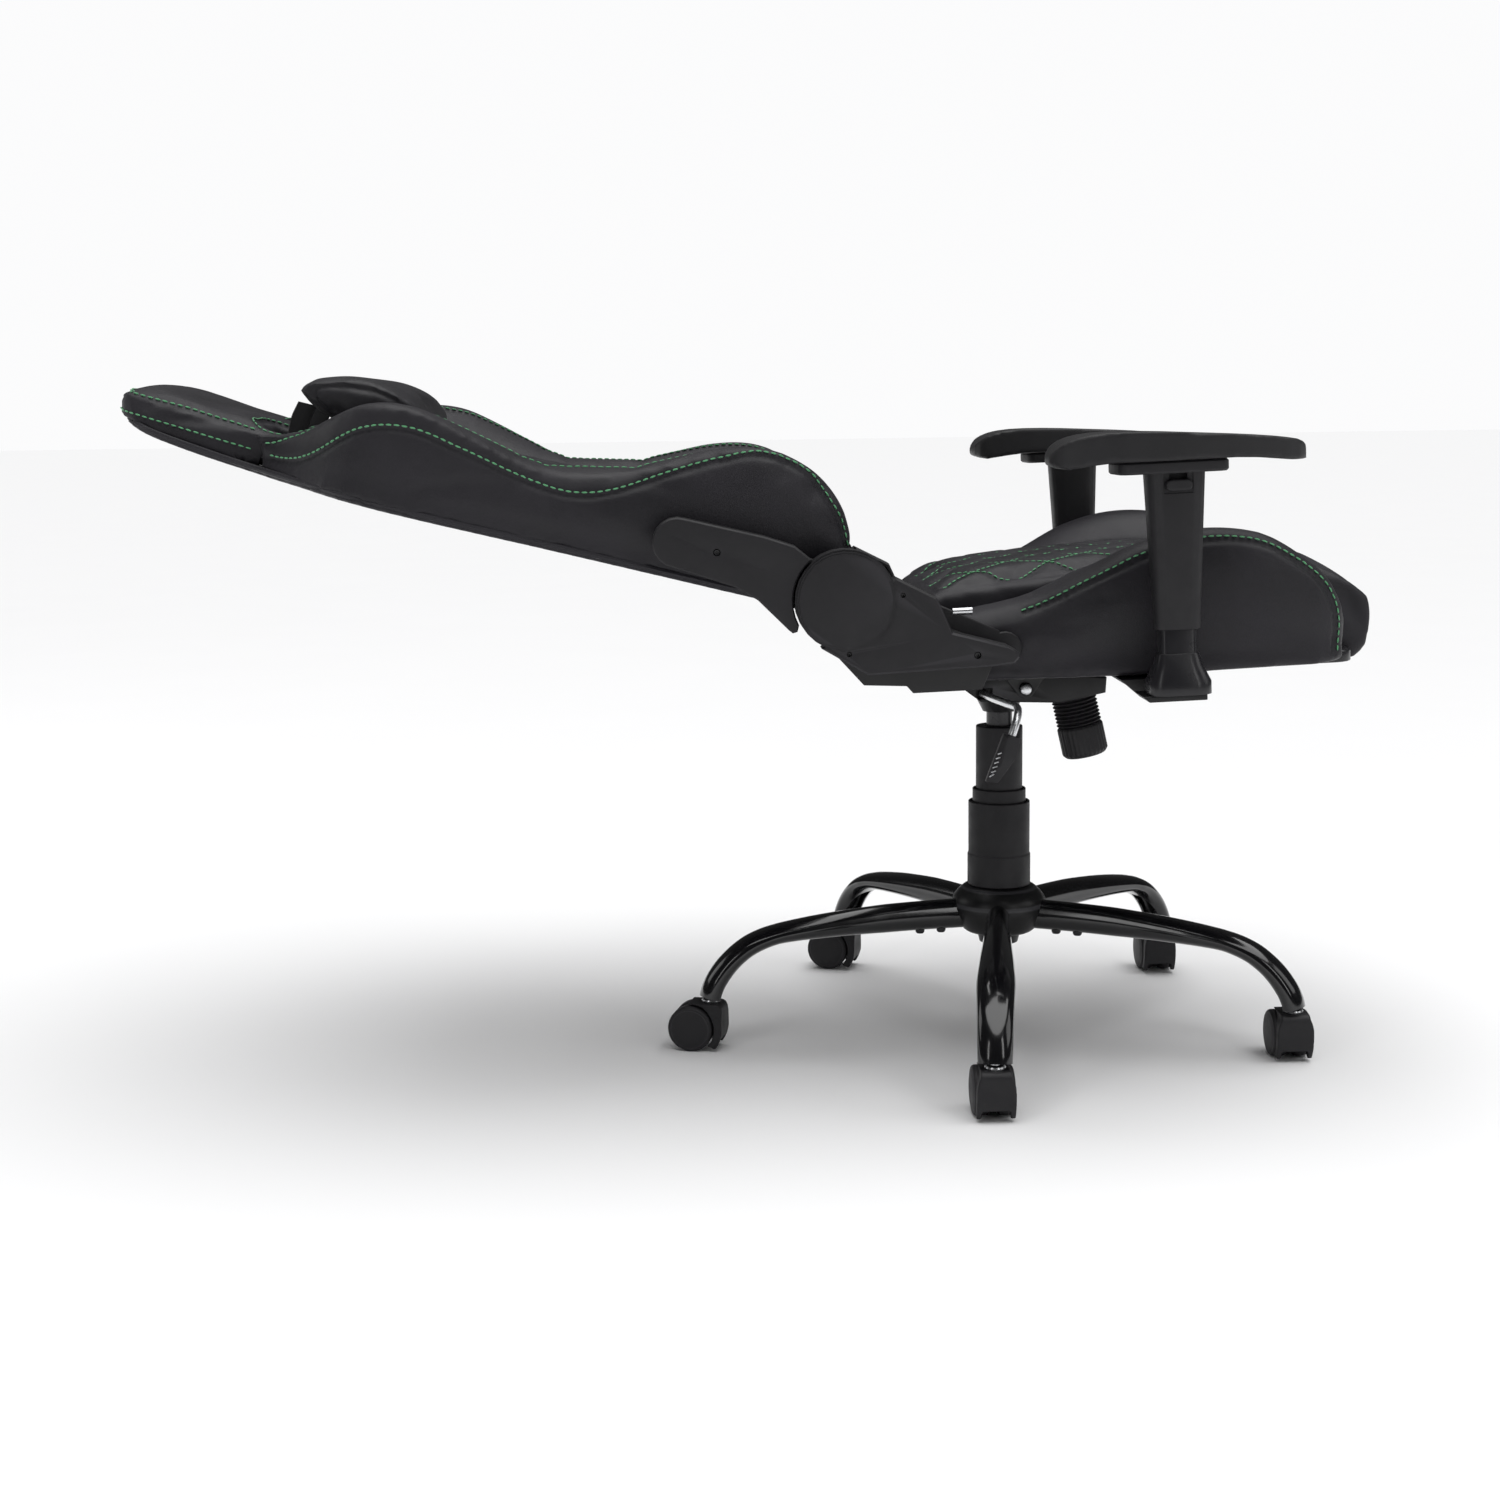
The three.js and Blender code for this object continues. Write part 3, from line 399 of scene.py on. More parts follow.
def eased(profile, radius=0.001, steps=3):
    """An (r, z) profile with its inner corners rounded."""
    result = [profile[0]]
    for before, corner, after in zip(profile, profile[1:], profile[2:]):
        a, b, c = (np.array(p, float) for p in (before, corner, after))
        toward_a, toward_c = a - b, c - b
        reach = min(radius, np.linalg.norm(toward_a) / 2, np.linalg.norm(toward_c) / 2)
        start = b + toward_a / np.linalg.norm(toward_a) * reach
        end = b + toward_c / np.linalg.norm(toward_c) * reach
        for k in range(steps + 1):
            share = k / steps
            result.append(tuple((1 - share) ** 2 * start + 2 * share * (1 - share) * b + share ** 2 * end))
    result.append(profile[-1])
    return result


def axis_frame(origin, axis, up=(0, 0, 1)):
    """A frame at origin whose z lies along axis."""
    z = Vector(axis).normalized()
    x = Vector(up).cross(z)
    if x.length < 1e-6:
        x = Vector((1, 0, 0))
    x.normalize()
    matrix = Matrix((x, z.cross(x), z)).transposed().to_4x4()
    return Matrix.Translation(Vector(origin)) @ matrix


# ---------------------------------------------------------------- materials

class Nodes:
    """A small helper for building one material's node tree."""

    def __init__(self, name):
        self.material = bpy.data.materials.new(name)
        self.material.use_nodes = True
        self.tree = self.material.node_tree
        self.shader = self.tree.nodes["Principled BSDF"]
        self.place = self.add("ShaderNodeTexCoord").outputs["Object"]

    def add(self, kind, **inputs):
        node = self.tree.nodes.new(kind)
        for key, value in inputs.items():
            self.feed(node.inputs[key.replace("_", " ")], value)
        return node

    def feed(self, socket, value):
        if isinstance(value, bpy.types.NodeSocket):
            self.tree.links.new(value, socket)
        else:
            socket.default_value = value

    def noise(self, scale, detail=3.0, stretch=None):
        vector = self.place
        if stretch:
            mapping = self.add("ShaderNodeMapping", Vector=self.place, Scale=stretch)
            vector = mapping.outputs["Vector"]
        node = self.add("ShaderNodeTexNoise", Vector=vector, Scale=scale, Detail=detail)
        return node.outputs["Fac"]

    def ramp(self, value, low, high, to_low, to_high):
        node = self.add("ShaderNodeMapRange")
        for index, item in enumerate((value, low, high, to_low, to_high)):
            self.feed(node.inputs[index], item)
        return node.outputs["Result"]

    def math(self, operation, a, b=0.5):
        node = self.add("ShaderNodeMath")
        node.operation = operation
        self.feed(node.inputs[0], a)
        self.feed(node.inputs[1], b)
        return node.outputs["Value"]

    def mixed(self, share, a, b):
        node = self.add("ShaderNodeMix")
        node.data_type = "RGBA"
        self.feed(node.inputs["Factor"], share)
        self.feed(node.inputs[6], (*a, 1) if isinstance(a, tuple) else a)
        self.feed(node.inputs[7], (*b, 1) if isinstance(b, tuple) else b)
        return node.outputs[2]

    def worn_edges(self, low=0.54, high=0.62):
        """1 on sharp outer edges, 0 elsewhere."""
        sharpness = self.add("ShaderNodeNewGeometry").outputs["Pointiness"]
        return self.ramp(sharpness, low, high, 0.0, 1.0)

    def bump(self, *layers):
        """layers are (height, strength, distance), the finest last."""
        normal = None
        for height, strength, distance in layers:
            node = self.add("ShaderNodeBump", Height=height, Strength=strength, Distance=distance)
            if normal is not None:
                self.tree.links.new(normal, node.inputs["Normal"])
            normal = node.outputs["Normal"]
        self.feed(self.shader.inputs["Normal"], normal)

    def set(self, **inputs):
        for key, value in inputs.items():
            self.feed(self.shader.inputs[key.replace("_", " ")], value)
        return self.material


def leather(name, dark, light, grain=1500, roughness=(0.40, 0.56), bump=0.5):
    """Grained synthetic leather: fine pebbles, softer creases, uneven sheen."""
    n = Nodes(name)
    cells = n.add("ShaderNodeTexVoronoi", Vector=n.place, Scale=grain / 2.2)
    cells.feature = "DISTANCE_TO_EDGE"
    pebbles = n.ramp(cells.outputs["Distance"], 0.0, 0.16, 0.0, 1.0)
    creases = n.noise(150, 6)
    cloud = n.noise(14, 4)
    colour = n.mixed(n.ramp(cloud, 0.3, 0.7, 0.0, 1.0), dark, light)
    edged = n.mixed(n.math("MULTIPLY", n.worn_edges(), 0.35), colour, tuple(min(1, 1.9 * c) for c in light))
    n.bump((n.noise(26, 3), 0.10, 0.004), (creases, 0.22 * bump, 0.0012), (pebbles, 0.55 * bump, 0.0003))
    rough = n.math("ADD", n.ramp(cloud, 0.3, 0.7, *roughness), n.ramp(pebbles, 0, 1, 0.08, 0.0))
    return n.set(Base_Color=edged, Roughness=rough, Specular_IOR_Level=0.32, Sheen_Weight=0.03)


def plastic(name, dark, light, texture=2600, roughness=(0.46, 0.6), strength=0.18):
    """Spark-textured moulded plastic with lightly rubbed edges."""
    n = Nodes(name)
    cloud = n.noise(22, 4)
    colour = n.mixed(cloud, dark, light)
    edged = n.mixed(n.math("MULTIPLY", n.worn_edges(), 0.5), colour, tuple(min(1, 2.2 * c) for c in light))
    n.bump((n.noise(texture, 2), strength, 0.0002))
    return n.set(Base_Color=edged, Roughness=n.ramp(n.noise(60, 5), 0.3, 0.7, *roughness),
                 Specular_IOR_Level=0.32)


def coated_steel(name, dark, light, roughness=(0.14, 0.24), orange_peel=0.06, coat=0.6):
    """Powder-coated or painted steel: slight orange peel, fine dust in the roughness."""
    n = Nodes(name)
    cloud = n.noise(9, 4)
    colour = n.mixed(cloud, dark, light)
    edged = n.mixed(n.math("MULTIPLY", n.worn_edges(0.56, 0.66), 0.4), colour, (0.10, 0.10, 0.11))
    n.bump((n.noise(260, 2), orange_peel, 0.0006))
    rough = n.ramp(n.noise(46, 6), 0.35, 0.75, *roughness)
    return n.set(Base_Color=edged, Roughness=rough, Coat_Weight=coat, Coat_Roughness=0.08,
                 Specular_IOR_Level=0.35)


def bright_steel(name):
    """Zinc-plated steel with fine turning marks."""
    n = Nodes(name)
    marks = n.noise(400, 3, (1.0, 9.0, 9.0))
    colour = n.mixed(marks, (0.55, 0.56, 0.58), (0.78, 0.79, 0.8))
    n.bump((marks, 0.12, 0.0002))
    return n.set(Base_Color=colour, Metallic=1.0, Roughness=n.ramp(marks, 0.3, 0.7, 0.2, 0.34))


def woven(name, dark, light, pitch=900):
    """Flat nylon webbing: crossed bands of yarn."""
    n = Nodes(name)
    warp = n.add("ShaderNodeTexWave", Vector=n.place, Scale=pitch)
    weft = n.add("ShaderNodeTexWave", Vector=n.place, Scale=pitch)
    weft.bands_direction = "Y"
    yarn = n.math("MULTIPLY", warp.outputs["Fac"], weft.outputs["Fac"])
    colour = n.mixed(yarn, dark, light)
    n.bump((yarn, 0.5, 0.0004), (n.noise(3000, 2), 0.2, 0.0002))
    return n.set(Base_Color=colour, Roughness=n.ramp(yarn, 0, 1, 0.9, 0.7), Sheen_Weight=0.3)


def twisted_thread(name, dark, light):
    """Sewing thread: twisted strands with a soft sheen."""
    n = Nodes(name)
    strands = n.noise(2400, 2, (1.0, 0.3, 1.0))
    colour = n.mixed(strands, dark, light)
    n.bump((strands, 0.5, 0.0002))
    return n.set(Base_Color=colour, Roughness=n.ramp(strands, 0.3, 0.7, 0.5, 0.75), Sheen_Weight=0.25)


LEATHER = leather("black_leather", (0.0085, 0.0078, 0.0105), (0.0150, 0.0136, 0.0180))
PILLOW_LEATHER = leather("pillow_leather", (0.0080, 0.0075, 0.0100), (0.0140, 0.0130, 0.0165), grain=1700)
SOFT_TOUCH = leather("arm_pad_skin", (0.0090, 0.0088, 0.0100), (0.0140, 0.0136, 0.0155), 2600,
                     (0.42, 0.52), 0.25)
PLASTIC = plastic("black_plastic", (0.0100, 0.0096, 0.0112), (0.0165, 0.0158, 0.0180))
NYLON = plastic("wheel_nylon", (0.0130, 0.0125, 0.0145), (0.0200, 0.0192, 0.0215), 1800, (0.46, 0.58))
GLOSS_STEEL = coated_steel("gloss_black_steel", (0.0025, 0.0025, 0.0032), (0.0045, 0.0044, 0.0055))
MATT_ENAMEL = coated_steel("hub_enamel", (0.0030, 0.0030, 0.0036), (0.0055, 0.0054, 0.0062),
                           (0.34, 0.46), 0.1, 0.0)
SATIN_STEEL = coated_steel("satin_steel", (0.0090, 0.0088, 0.0105), (0.0150, 0.0145, 0.0170),
                           (0.26, 0.36), 0.1, 0.1)
ZINC = bright_steel("zinc_steel")
WEBBING = woven("black_webbing", (0.004, 0.004, 0.005), (0.014, 0.014, 0.016))
THREAD = twisted_thread("green_thread", (0.045, 0.230, 0.090), (0.110, 0.400, 0.175))

# ---------------------------------------------------------------- seat upholstery

SEAT_CORE_HALF = 0.150
BACK_CORE_HALF = 0.146
CLEARANCE = 0.0004
SEAM_INSET = 0.008
EDGE_ROUNDING = 0.012


def cad_points(node, matrix):
    flat = np.zeros(len(NODES[node].data.vertices) * 3)
    NODES[node].data.vertices.foreach_get("co", flat)
    return into(matrix, flat.reshape(-1, 3))


def silhouette(tree, matrix, centre, x, start, end, inset, count=60):
    """Outline of a piece seen from the side, moved in by inset: start and end are angles from +y."""
    path = []
    forward = matrix.to_3x3()
    for angle in np.radians(np.linspace(start, end, count)):
        ray = Vector((0, math.cos(angle), math.sin(angle)))
        source = matrix @ (Vector((x, *centre)) + ray * 0.6)
        spot, _, _, _ = tree.ray_cast(source, -(forward @ ray))
        if spot is not None:
            path.append(spot - (forward @ ray) * inset)
    return np.array(path)


def hits(tree, rays):
    """Where rays, each a start and a direction, meet a surface; one that misses gives no point."""
    spots = [tree.ray_cast(start, direction)[0] for start, direction in rays]
    return np.array([spot for spot in spots if spot is not None])


def from_outside(path, tree, side, reach=0.05):
    """The path moved out past the side wall and back onto it."""
    moved = np.array(path) + np.array([side * reach, 0, 0])
    return hits(tree, [(Vector(point), Vector((-side, 0, 0))) for point in moved])


def dropped(path, tree, matrix, height=0.3):
    """Points of a frame's own coordinates dropped along its z onto a surface."""
    down = -(matrix.to_3x3() @ Vector((0, 0, 1)))
    return hits(tree, [(matrix @ Vector((x, y, height)), down) for x, y in path])


def core_top(node, matrix):
    return extent(cad_points(node, matrix), 1, 2, 0.03)


def cover_front():
    """Height of the rear cover's front surface along the back."""
    return extent(cad_points("back_rear_cover", BACK), 1, 2, 0.008)


def settled(obj):
    """Lets the rounded lower edge of the back's padding down onto the rear cover."""
    points = into(BACK, coordinates(obj))
    cover = cover_front()(points[:, 1])
    gap = points[:, 2] - cover
    low = (gap > 0) & (gap < EDGE_ROUNDING)
    points[low, 2] = cover[low] + EDGE_ROUNDING * (gap[low] / EDGE_ROUNDING) ** 2.5
    set_coordinates(obj, out_of(BACK, points))


def glued_to_rear(points):
    """1 where the back's padding sits on the rear cover, or deep in its channel, fading over 8 mm."""
    cover = cover_front()
    placed = into(BACK, points)
    level = np.interp(placed[:, 1], [0.56, 0.61], [-0.012, 0])
    level += np.interp(placed[:, 1], [0.56, 0.61], [0, 1]) * (cover(placed[:, 1]) + 0.003)
    return np.clip(1 - (placed[:, 2] - level) / 0.008, 0, 1)


def stuffed(obj, held, slack):
    """Draws a padded piece in by slack, then inflates it; held(points) is 1 where it is glued down."""
    before = coordinates(obj)
    free = 1 - np.asarray(held(before), float)
    set_coordinates(obj, before - normals(obj) * (slack * free)[:, None])
    inflate(obj, held)
    relax(obj, 2)
    return subdivided(obj)


def near_base(matrix, level):
    """1 below a level of the frame's third coordinate, fading to 0 over 12 mm above it."""
    return lambda points: np.clip(1 - (into(matrix, points)[:, 2] - level) / 0.012, 0, 1)


def diamonds(half, start, end, wide, long):
    """Straight lines of a diamond pattern clipped to a panel, each as its two ends in (x, y)."""
    lines = []
    reach = int(half / wide + max(abs(start), abs(end)) / long) + 2
    for slope in (1, -1):
        for number in range(-reach, reach + 1):
            ends = []
            for x in np.linspace(-half, half, 101):
                y = slope * long * (number - x / wide)
                if start <= y <= end:
                    ends.append((x, y))
            if len(ends) > 2:
                lines.append((ends[0], ends[-1]))
    return lines


def quilt(obj, matrix, half, start, end, wide, long, depth=0.0024, width=0.012):
    """Sewn diamonds: the padding is pulled down along the lines and stays full between them."""
    points = into(matrix, coordinates(obj))
    facing = normals(obj) @ np.array(matrix.to_3x3())[:, 2]
    inside = (np.abs(points[:, 0]) < half) & (points[:, 1] > start) & (points[:, 1] < end) & (facing > 0.25)
    first = points[:, 0] / wide + points[:, 1] / long
    second = points[:, 0] / wide - points[:, 1] / long
    unit = wide * long / math.hypot(wide, long)
    near = np.minimum(np.abs(first - np.round(first)), np.abs(second - np.round(second))) * unit
    pull = depth * np.clip(1 - near / width, 0, 1) ** 1.4 - 0.0012 * np.clip(near / width, 0, 1)
    points[inside, 2] -= pull[inside]
    set_coordinates(obj, out_of(matrix, points))


def quilt_threads(obj, matrix, half, start, end, wide, long):
    tree = surface(obj)
    paths = []
    for a, b in diamonds(half, start, end, wide, long):
        flat = [(a[0] + (b[0] - a[0]) * k / 80, a[1] + (b[1] - a[1]) * k / 80) for k in range(81)]
        path = dropped(flat, tree, matrix)
        if len(path) > 4:
            paths.append(path)
    return paths


# Quilted panels: half width, start, end, then the width and the length of a diamond, in metres.
SEAT_QUILT = (0.128, -0.268, 0.082, 0.066, 0.078)
BACK_QUILT = (0.124, 0.085, 0.430, 0.066, 0.078)


def crowned(points, half, base, rise, fall):
    """Raises a panel's top above its base, and lets it fall towards its long edges."""
    top = extent(points, 1, 2)(points[:, 1])
    up = np.clip((points[:, 2] - base) / np.maximum(top - base, 0.01), 0, 1)
    edge = np.clip(np.abs(points[:, 0]) / half, 0, 1)
    points[:, 2] += (rise - fall * edge ** 4) * up ** 2
    return points


def seat_cushion():
    obj = remeshed("seat_cushion_leather", "seat_cushion", PANEL_VOXEL, 2)
    points = crowned(into(SEAT, coordinates(obj)), SEAT_CORE_HALF, 0.03, 0.0015, 0.010)
    points[:, 1] -= 0.005 * np.clip((-0.275 - points[:, 1]) / 0.025, 0, 1)
    set_coordinates(obj, out_of(SEAT, points))
    stuffed(obj, near_base(SEAT, 0.010), 0.002)
    quilt(obj, SEAT, *SEAT_QUILT)
    keep_within(obj, SEAT_CORE_HALF - CLEARANCE)
    tree = surface(obj)
    rows = quilt_threads(obj, SEAT, *SEAT_QUILT)
    finished(obj, LEATHER, "seat", "leather", "seat_cushion")
    threads = stitches("seat_panel_stitching", rows, tree)
    finished(threads, THREAD, "seat", "leather")


def keep_within(obj, half):
    points = coordinates(obj)
    points[:, 0] = np.clip(points[:, 0], CENTRE.x - half, CENTRE.x + half)
    set_coordinates(obj, points)


def keep_outside(obj, half):
    points = coordinates(obj)
    side = np.sign((points[:, 0] - CENTRE.x).mean())
    points[:, 0] = CENTRE.x + side * np.maximum(side * (points[:, 0] - CENTRE.x), half)
    set_coordinates(obj, points)


def glued_side(matrix, base, half):
    """Held where a right bolster sits on its base or against the middle panel."""

    def held(points):
        wall = np.clip(1 - (-half - into(matrix, points)[:, 0] - 0.001) / 0.006, 0, 1)
        return np.maximum(base(points), wall)
    return held


def both_sides(kind, right, threads, body):
    """Finishes a right bolster and its stitching, then their mirror images on the left."""
    for name in SIDES:
        padding, sewn = right, threads
        if name == "left":
            padding = mirror_image(f"{kind}_left_leather", right)
            sewn = mirror_image(f"{kind}_left_stitching", threads)
        finished(padding, LEATHER, body, "leather", f"{kind}_{name}")
        finished(sewn, THREAD, body, "leather")


def seat_bolsters():
    right = remeshed("seat_bolster_right_leather", "seat_bolster_right", BOLSTER_VOXEL, 1)
    crown_bolster(right, SEAT, SEAT_CORE_HALF, core_top("seat_cushion", SEAT), 0.03, 0.62, 0.018, 0.004)
    stuffed(right, glued_side(SEAT, near_base(SEAT, 0.008), SEAT_CORE_HALF), 0.003)
    keep_outside(right, SEAT_CORE_HALF + CLEARANCE)
    tree = surface(right)
    crest = silhouette(tree, SEAT, (-0.13, 0.05), -0.200, 8, 192, SEAM_INSET + 0.004)
    seam = from_outside(rounded(crest), tree, -1)
    groove(right, [seam], 0.006, 0.003)
    tree = surface(right)
    row = silhouette(tree, SEAT, (-0.13, 0.05), -0.200, 8, 192, SEAM_INSET)
    row = from_outside(rounded(row), tree, -1)
    threads = stitches("seat_bolster_right_stitching", [row], tree)
    both_sides("seat_bolster", right, threads, "seat")


# ---------------------------------------------------------------- backrest upholstery

# Lower seam of the side band in (s, t) mm, from the lumbar end to the head.
LOW_SEAM = [
    (6, 49), (16, 69), (29, 84), (63, 111), (109, 118), (150, 102), (195, 77), (239, 50), (279, 37),
    (326, 40), (388, 53), (441, 61), (488, 48), (531, 13), (560, 0), (603, -2), (660, 1), (722, 4), (750, 5),
]
# Upper seam of the same band where it runs down the side of the head.
HIGH_SEAM = [(586, 17), (604, 17), (635, 19), (675, 22), (731, 23), (750, 23)]
BOLSTER_END = 0.594


def spline(points, count=160):
    """A smooth path through a few (s, t) points, in metres."""
    rows = np.array(points, float) / 1000
    at = np.linspace(0, len(rows) - 1, count)
    result = []
    for place in at:
        i = min(int(place), len(rows) - 2)
        u = place - i
        p = [rows[max(0, min(len(rows) - 1, i + k))] for k in (-1, 0, 1, 2)]
        result.append(0.5 * (2 * p[1] + (p[2] - p[0]) * u + (2 * p[0] - 5 * p[1] + 4 * p[2] - p[3]) * u ** 2
                             + (3 * p[1] - p[0] - 3 * p[2] + p[3]) * u ** 3))
    return np.array(result)


def side_line(rows, lift=0.0):
    """Rows of (s, t) as row-frame points on the middle plane of the back."""
    return out_of(BACK, np.column_stack([np.zeros(len(rows)), rows[:, 0], rows[:, 1] + lift]))


def crest_row(tree, half, top, inward=0.0):
    """Upper seam of the right bolster: over its crest, and round to its outer edge by the head."""
    turned_out = BACK.to_3x3()
    rays = []
    for s in np.linspace(0.03, BOLSTER_END, 140):
        lean = np.interp(s, [0.42, 0.53], [0, math.radians(60)])
        ray = Vector((-math.sin(lean), 0, math.cos(lean)))
        across = BACK_CORE_HALF + 0.6 * (half(s) - BACK_CORE_HALF) - inward
        source = Vector((-across, s, top(s) - 0.012)) + ray * 0.2
        rays.append((BACK @ source, -(turned_out @ ray)))
    return hits(tree, rays)


def back_bolsters():
    outline = cad_points("back_bolster_right", BACK)
    half = half_width(outline, 0.02)
    right = remeshed("back_bolster_right_leather", "back_bolster_right", BOLSTER_VOXEL, 1)
    crown_bolster(right, BACK, BACK_CORE_HALF, core_top("back_cushion", BACK), -0.006, 0.80, 0.004, 0.003)
    stuffed(right, glued_side(BACK, glued_to_rear, BACK_CORE_HALF), 0.0015)
    keep_outside(right, BACK_CORE_HALF + 2 * CLEARANCE)
    settled(right)
    points = into(BACK, coordinates(right))
    points[:, 1] += 0.0028 * np.clip((points[:, 1] - 0.575) / 0.015, 0, 1)
    set_coordinates(right, out_of(BACK, points))
    tree = surface(right)
    low = spline(LOW_SEAM)
    low = low[low[:, 0] < BOLSTER_END]
    top = extent(outline, 1, 2)
    low_seam = from_outside(side_line(low, -0.004), tree, -1, 0.35)
    groove(right, [low_seam, crest_row(tree, half, top, 0.004)], 0.006, 0.003)
    tree = surface(right)
    rows = [rounded(from_outside(side_line(low), tree, -1, 0.35)), rounded(crest_row(tree, half, top))]
    threads = stitches("back_bolster_right_stitching", rows, tree)
    both_sides("back_bolster", right, threads, "backrest")


def slot_ring(side, grow):
    """Rounded outline of a harness slot in (x, s), larger than the slot by grow."""
    length, width, radius = 0.037 + grow, 0.017 + grow, 0.014 + grow
    points = []
    for corner, (sx, sy) in enumerate(((1, 1), (-1, 1), (-1, -1), (1, -1))):
        for k in range(9):
            angle = math.radians(90 * corner + 11.25 * k)
            x = sx * (length - radius) + radius * math.cos(angle)
            s = sy * (width - radius) + radius * math.sin(angle)
            points.append((side * 0.080 + x, 0.580 + s))
    return points + points[:1]


def squared_head(obj):
    """Fills out the end of the head, and closes its side against the bolsters' ends."""
    points = into(BACK, coordinates(obj))
    x, s, t = points.T
    points[:, 1] += 0.0075 * np.clip((s - 0.66) / 0.07, 0, 1) ** 2 * np.clip((t - 0.004) / 0.016, -0.5, 1)
    wing = (np.abs(x) > BACK_CORE_HALF) & (s < 0.63)
    points[wing, 1] -= 0.0028 * np.clip((0.63 - s[wing]) / 0.02, 0, 1)
    corner = (s < 0.625) & (s > 0.592) & (t < 0.012)
    cover = cover_front()(s)
    sunk = np.clip((0.625 - s) / 0.012, 0, 1) * np.clip((0.012 - t) / 0.006, 0, 1)
    points[corner, 2] += (sunk * (cover + 0.0004 - t))[corner]
    set_coordinates(obj, out_of(BACK, points))


def back_cushion():
    obj = remeshed("back_cushion_leather", "back_cushion", PANEL_VOXEL, 2)
    points = crowned(into(BACK, coordinates(obj)), BACK_CORE_HALF, -0.002, 0.002, 0.008)
    set_coordinates(obj, out_of(BACK, points))
    stuffed(obj, glued_to_rear, 0.0015)
    settled(obj)
    squared_head(obj)
    quilt(obj, BACK, *BACK_QUILT)
    tree = surface(obj)
    groove(obj, [dropped(slot_ring(side, 0.012), tree, BACK) for side in (-1, 1)], 0.007, 0.0035)
    points = into(BACK, coordinates(obj))
    below_head = points[:, 1] < 0.596
    limit = BACK_CORE_HALF - CLEARANCE
    points[below_head, 0] = np.clip(points[below_head, 0], -limit, limit)
    set_coordinates(obj, out_of(BACK, points))
    tree = surface(obj)
    rows = quilt_threads(obj, BACK, *BACK_QUILT)
    rows += [dropped(slot_ring(side, 0.017), tree, BACK) for side in (-1, 1)]
    rows += head_rows(tree)
    finished(obj, LEATHER, "backrest", "leather", "back_cushion")
    finished(stitches("back_panel_stitching", rows, tree), THREAD, "backrest", "leather")


def round_the_head(tree, seam):
    """A seam of given (s, t) mm run down one side of the head, over its end and down the other."""
    at, level = np.array(seam, float).T / 1000
    order = np.argsort(at)
    centre = Vector((0, 0.635, 0))
    path = []
    for angle in np.radians(np.linspace(193, -13, 170)):
        ray = Vector((math.cos(angle), math.sin(angle), 0))
        s = 0.635 + 0.11 * ray.y
        for _ in range(3):
            t = np.interp(s, at[order], level[order])
            source = BACK @ (centre + ray * 0.5 + Vector((0, 0, t)))
            spot, _, _, _ = tree.ray_cast(source, -(BACK.to_3x3() @ ray))
            if spot is None:
                break
            s = (BACK.inverted() @ spot).y
        if spot is not None and s > 0.6:
            path.append(spot)
    return np.array(path)


def head_rows(tree):
    return [round_the_head(tree, [row for row in seam if row[0] > 585]) for seam in (LOW_SEAM, HIGH_SEAM)]


def tucked(points):
    """The rear cover's end drawn in under the rounded head."""
    points = np.array(points, float)
    share = np.clip((points[:, 1] - 0.690) / 0.055, 0, 1) ** 2
    points[:, 0] *= 1 - 0.05 * share
    points[:, 1] -= 0.007 * share
    points[:, 2] += 0.005 * share
    return points


def rear_shell():
    outline = cad_points("back_rear_cover", BACK)
    half = half_width(outline, 0.02)
    rear = extent(outline, 1, 2, 0.03, np.min)
    obj = remeshed("back_rear_leather", "back_rear_cover", 0.0034, 2)
    points = into(BACK, coordinates(obj))
    across = np.clip(np.abs(points[:, 0]) / half(points[:, 1]), 0, 1)
    points[:, 2] -= 0.003 * (1 - across ** 3)
    set_coordinates(obj, out_of(BACK, tucked(points)))
    smooth_shaded(obj, 60)
    finished(obj, LEATHER, "backrest", "leather", "back_rear_cover")
    reach = np.linspace(0.02, 0.72, 150)
    path = [(-half(s) + 0.002, s, rear(s) + 0.0055) for s in reach]
    over = [(-0.12 + 0.24 * k / 40, 0.735, rear(0.735) + 0.0055) for k in range(41)]
    back = [(half(s) - 0.002, s, rear(s) + 0.0055) for s in reach[::-1]]
    line = out_of(BACK, tucked(path + over + back))
    piping = swept(rounded(line, 0.006, 6), 0.0030, 8)
    made("back_rear_piping", [piping], 35, LEATHER, "backrest", "leather")


def neck_pillow():
    obj = remeshed("neck_pillow_leather", "neck_pillow", BOLSTER_VOXEL, 2)
    points = into(BACK, coordinates(obj))
    low, high = points[:, 2].min(), points[:, 2].max()
    above = np.clip((high - points[:, 2]) / (high - low), 0, 1)
    points[:, 2] += 0.014 * above * np.clip((points[:, 1] - 0.510) / 0.055, 0, 1) ** 1.5
    set_coordinates(obj, out_of(BACK, points))
    stuffed(obj, near_base(BACK, 0.0), 0.003)
    tree = surface(obj)
    rows = []
    for side in (-1, 1):
        edge = silhouette(tree, BACK, (0.508, 0.055), side * 0.125, -4, 184, 0.008, 90)
        rows.append(rounded(from_outside(edge, tree, side, 0.2)))
    groove(obj, rows, 0.0055, 0.0030)
    finished(obj, PILLOW_LEATHER, "backrest", "pillow_leather", "neck_pillow")


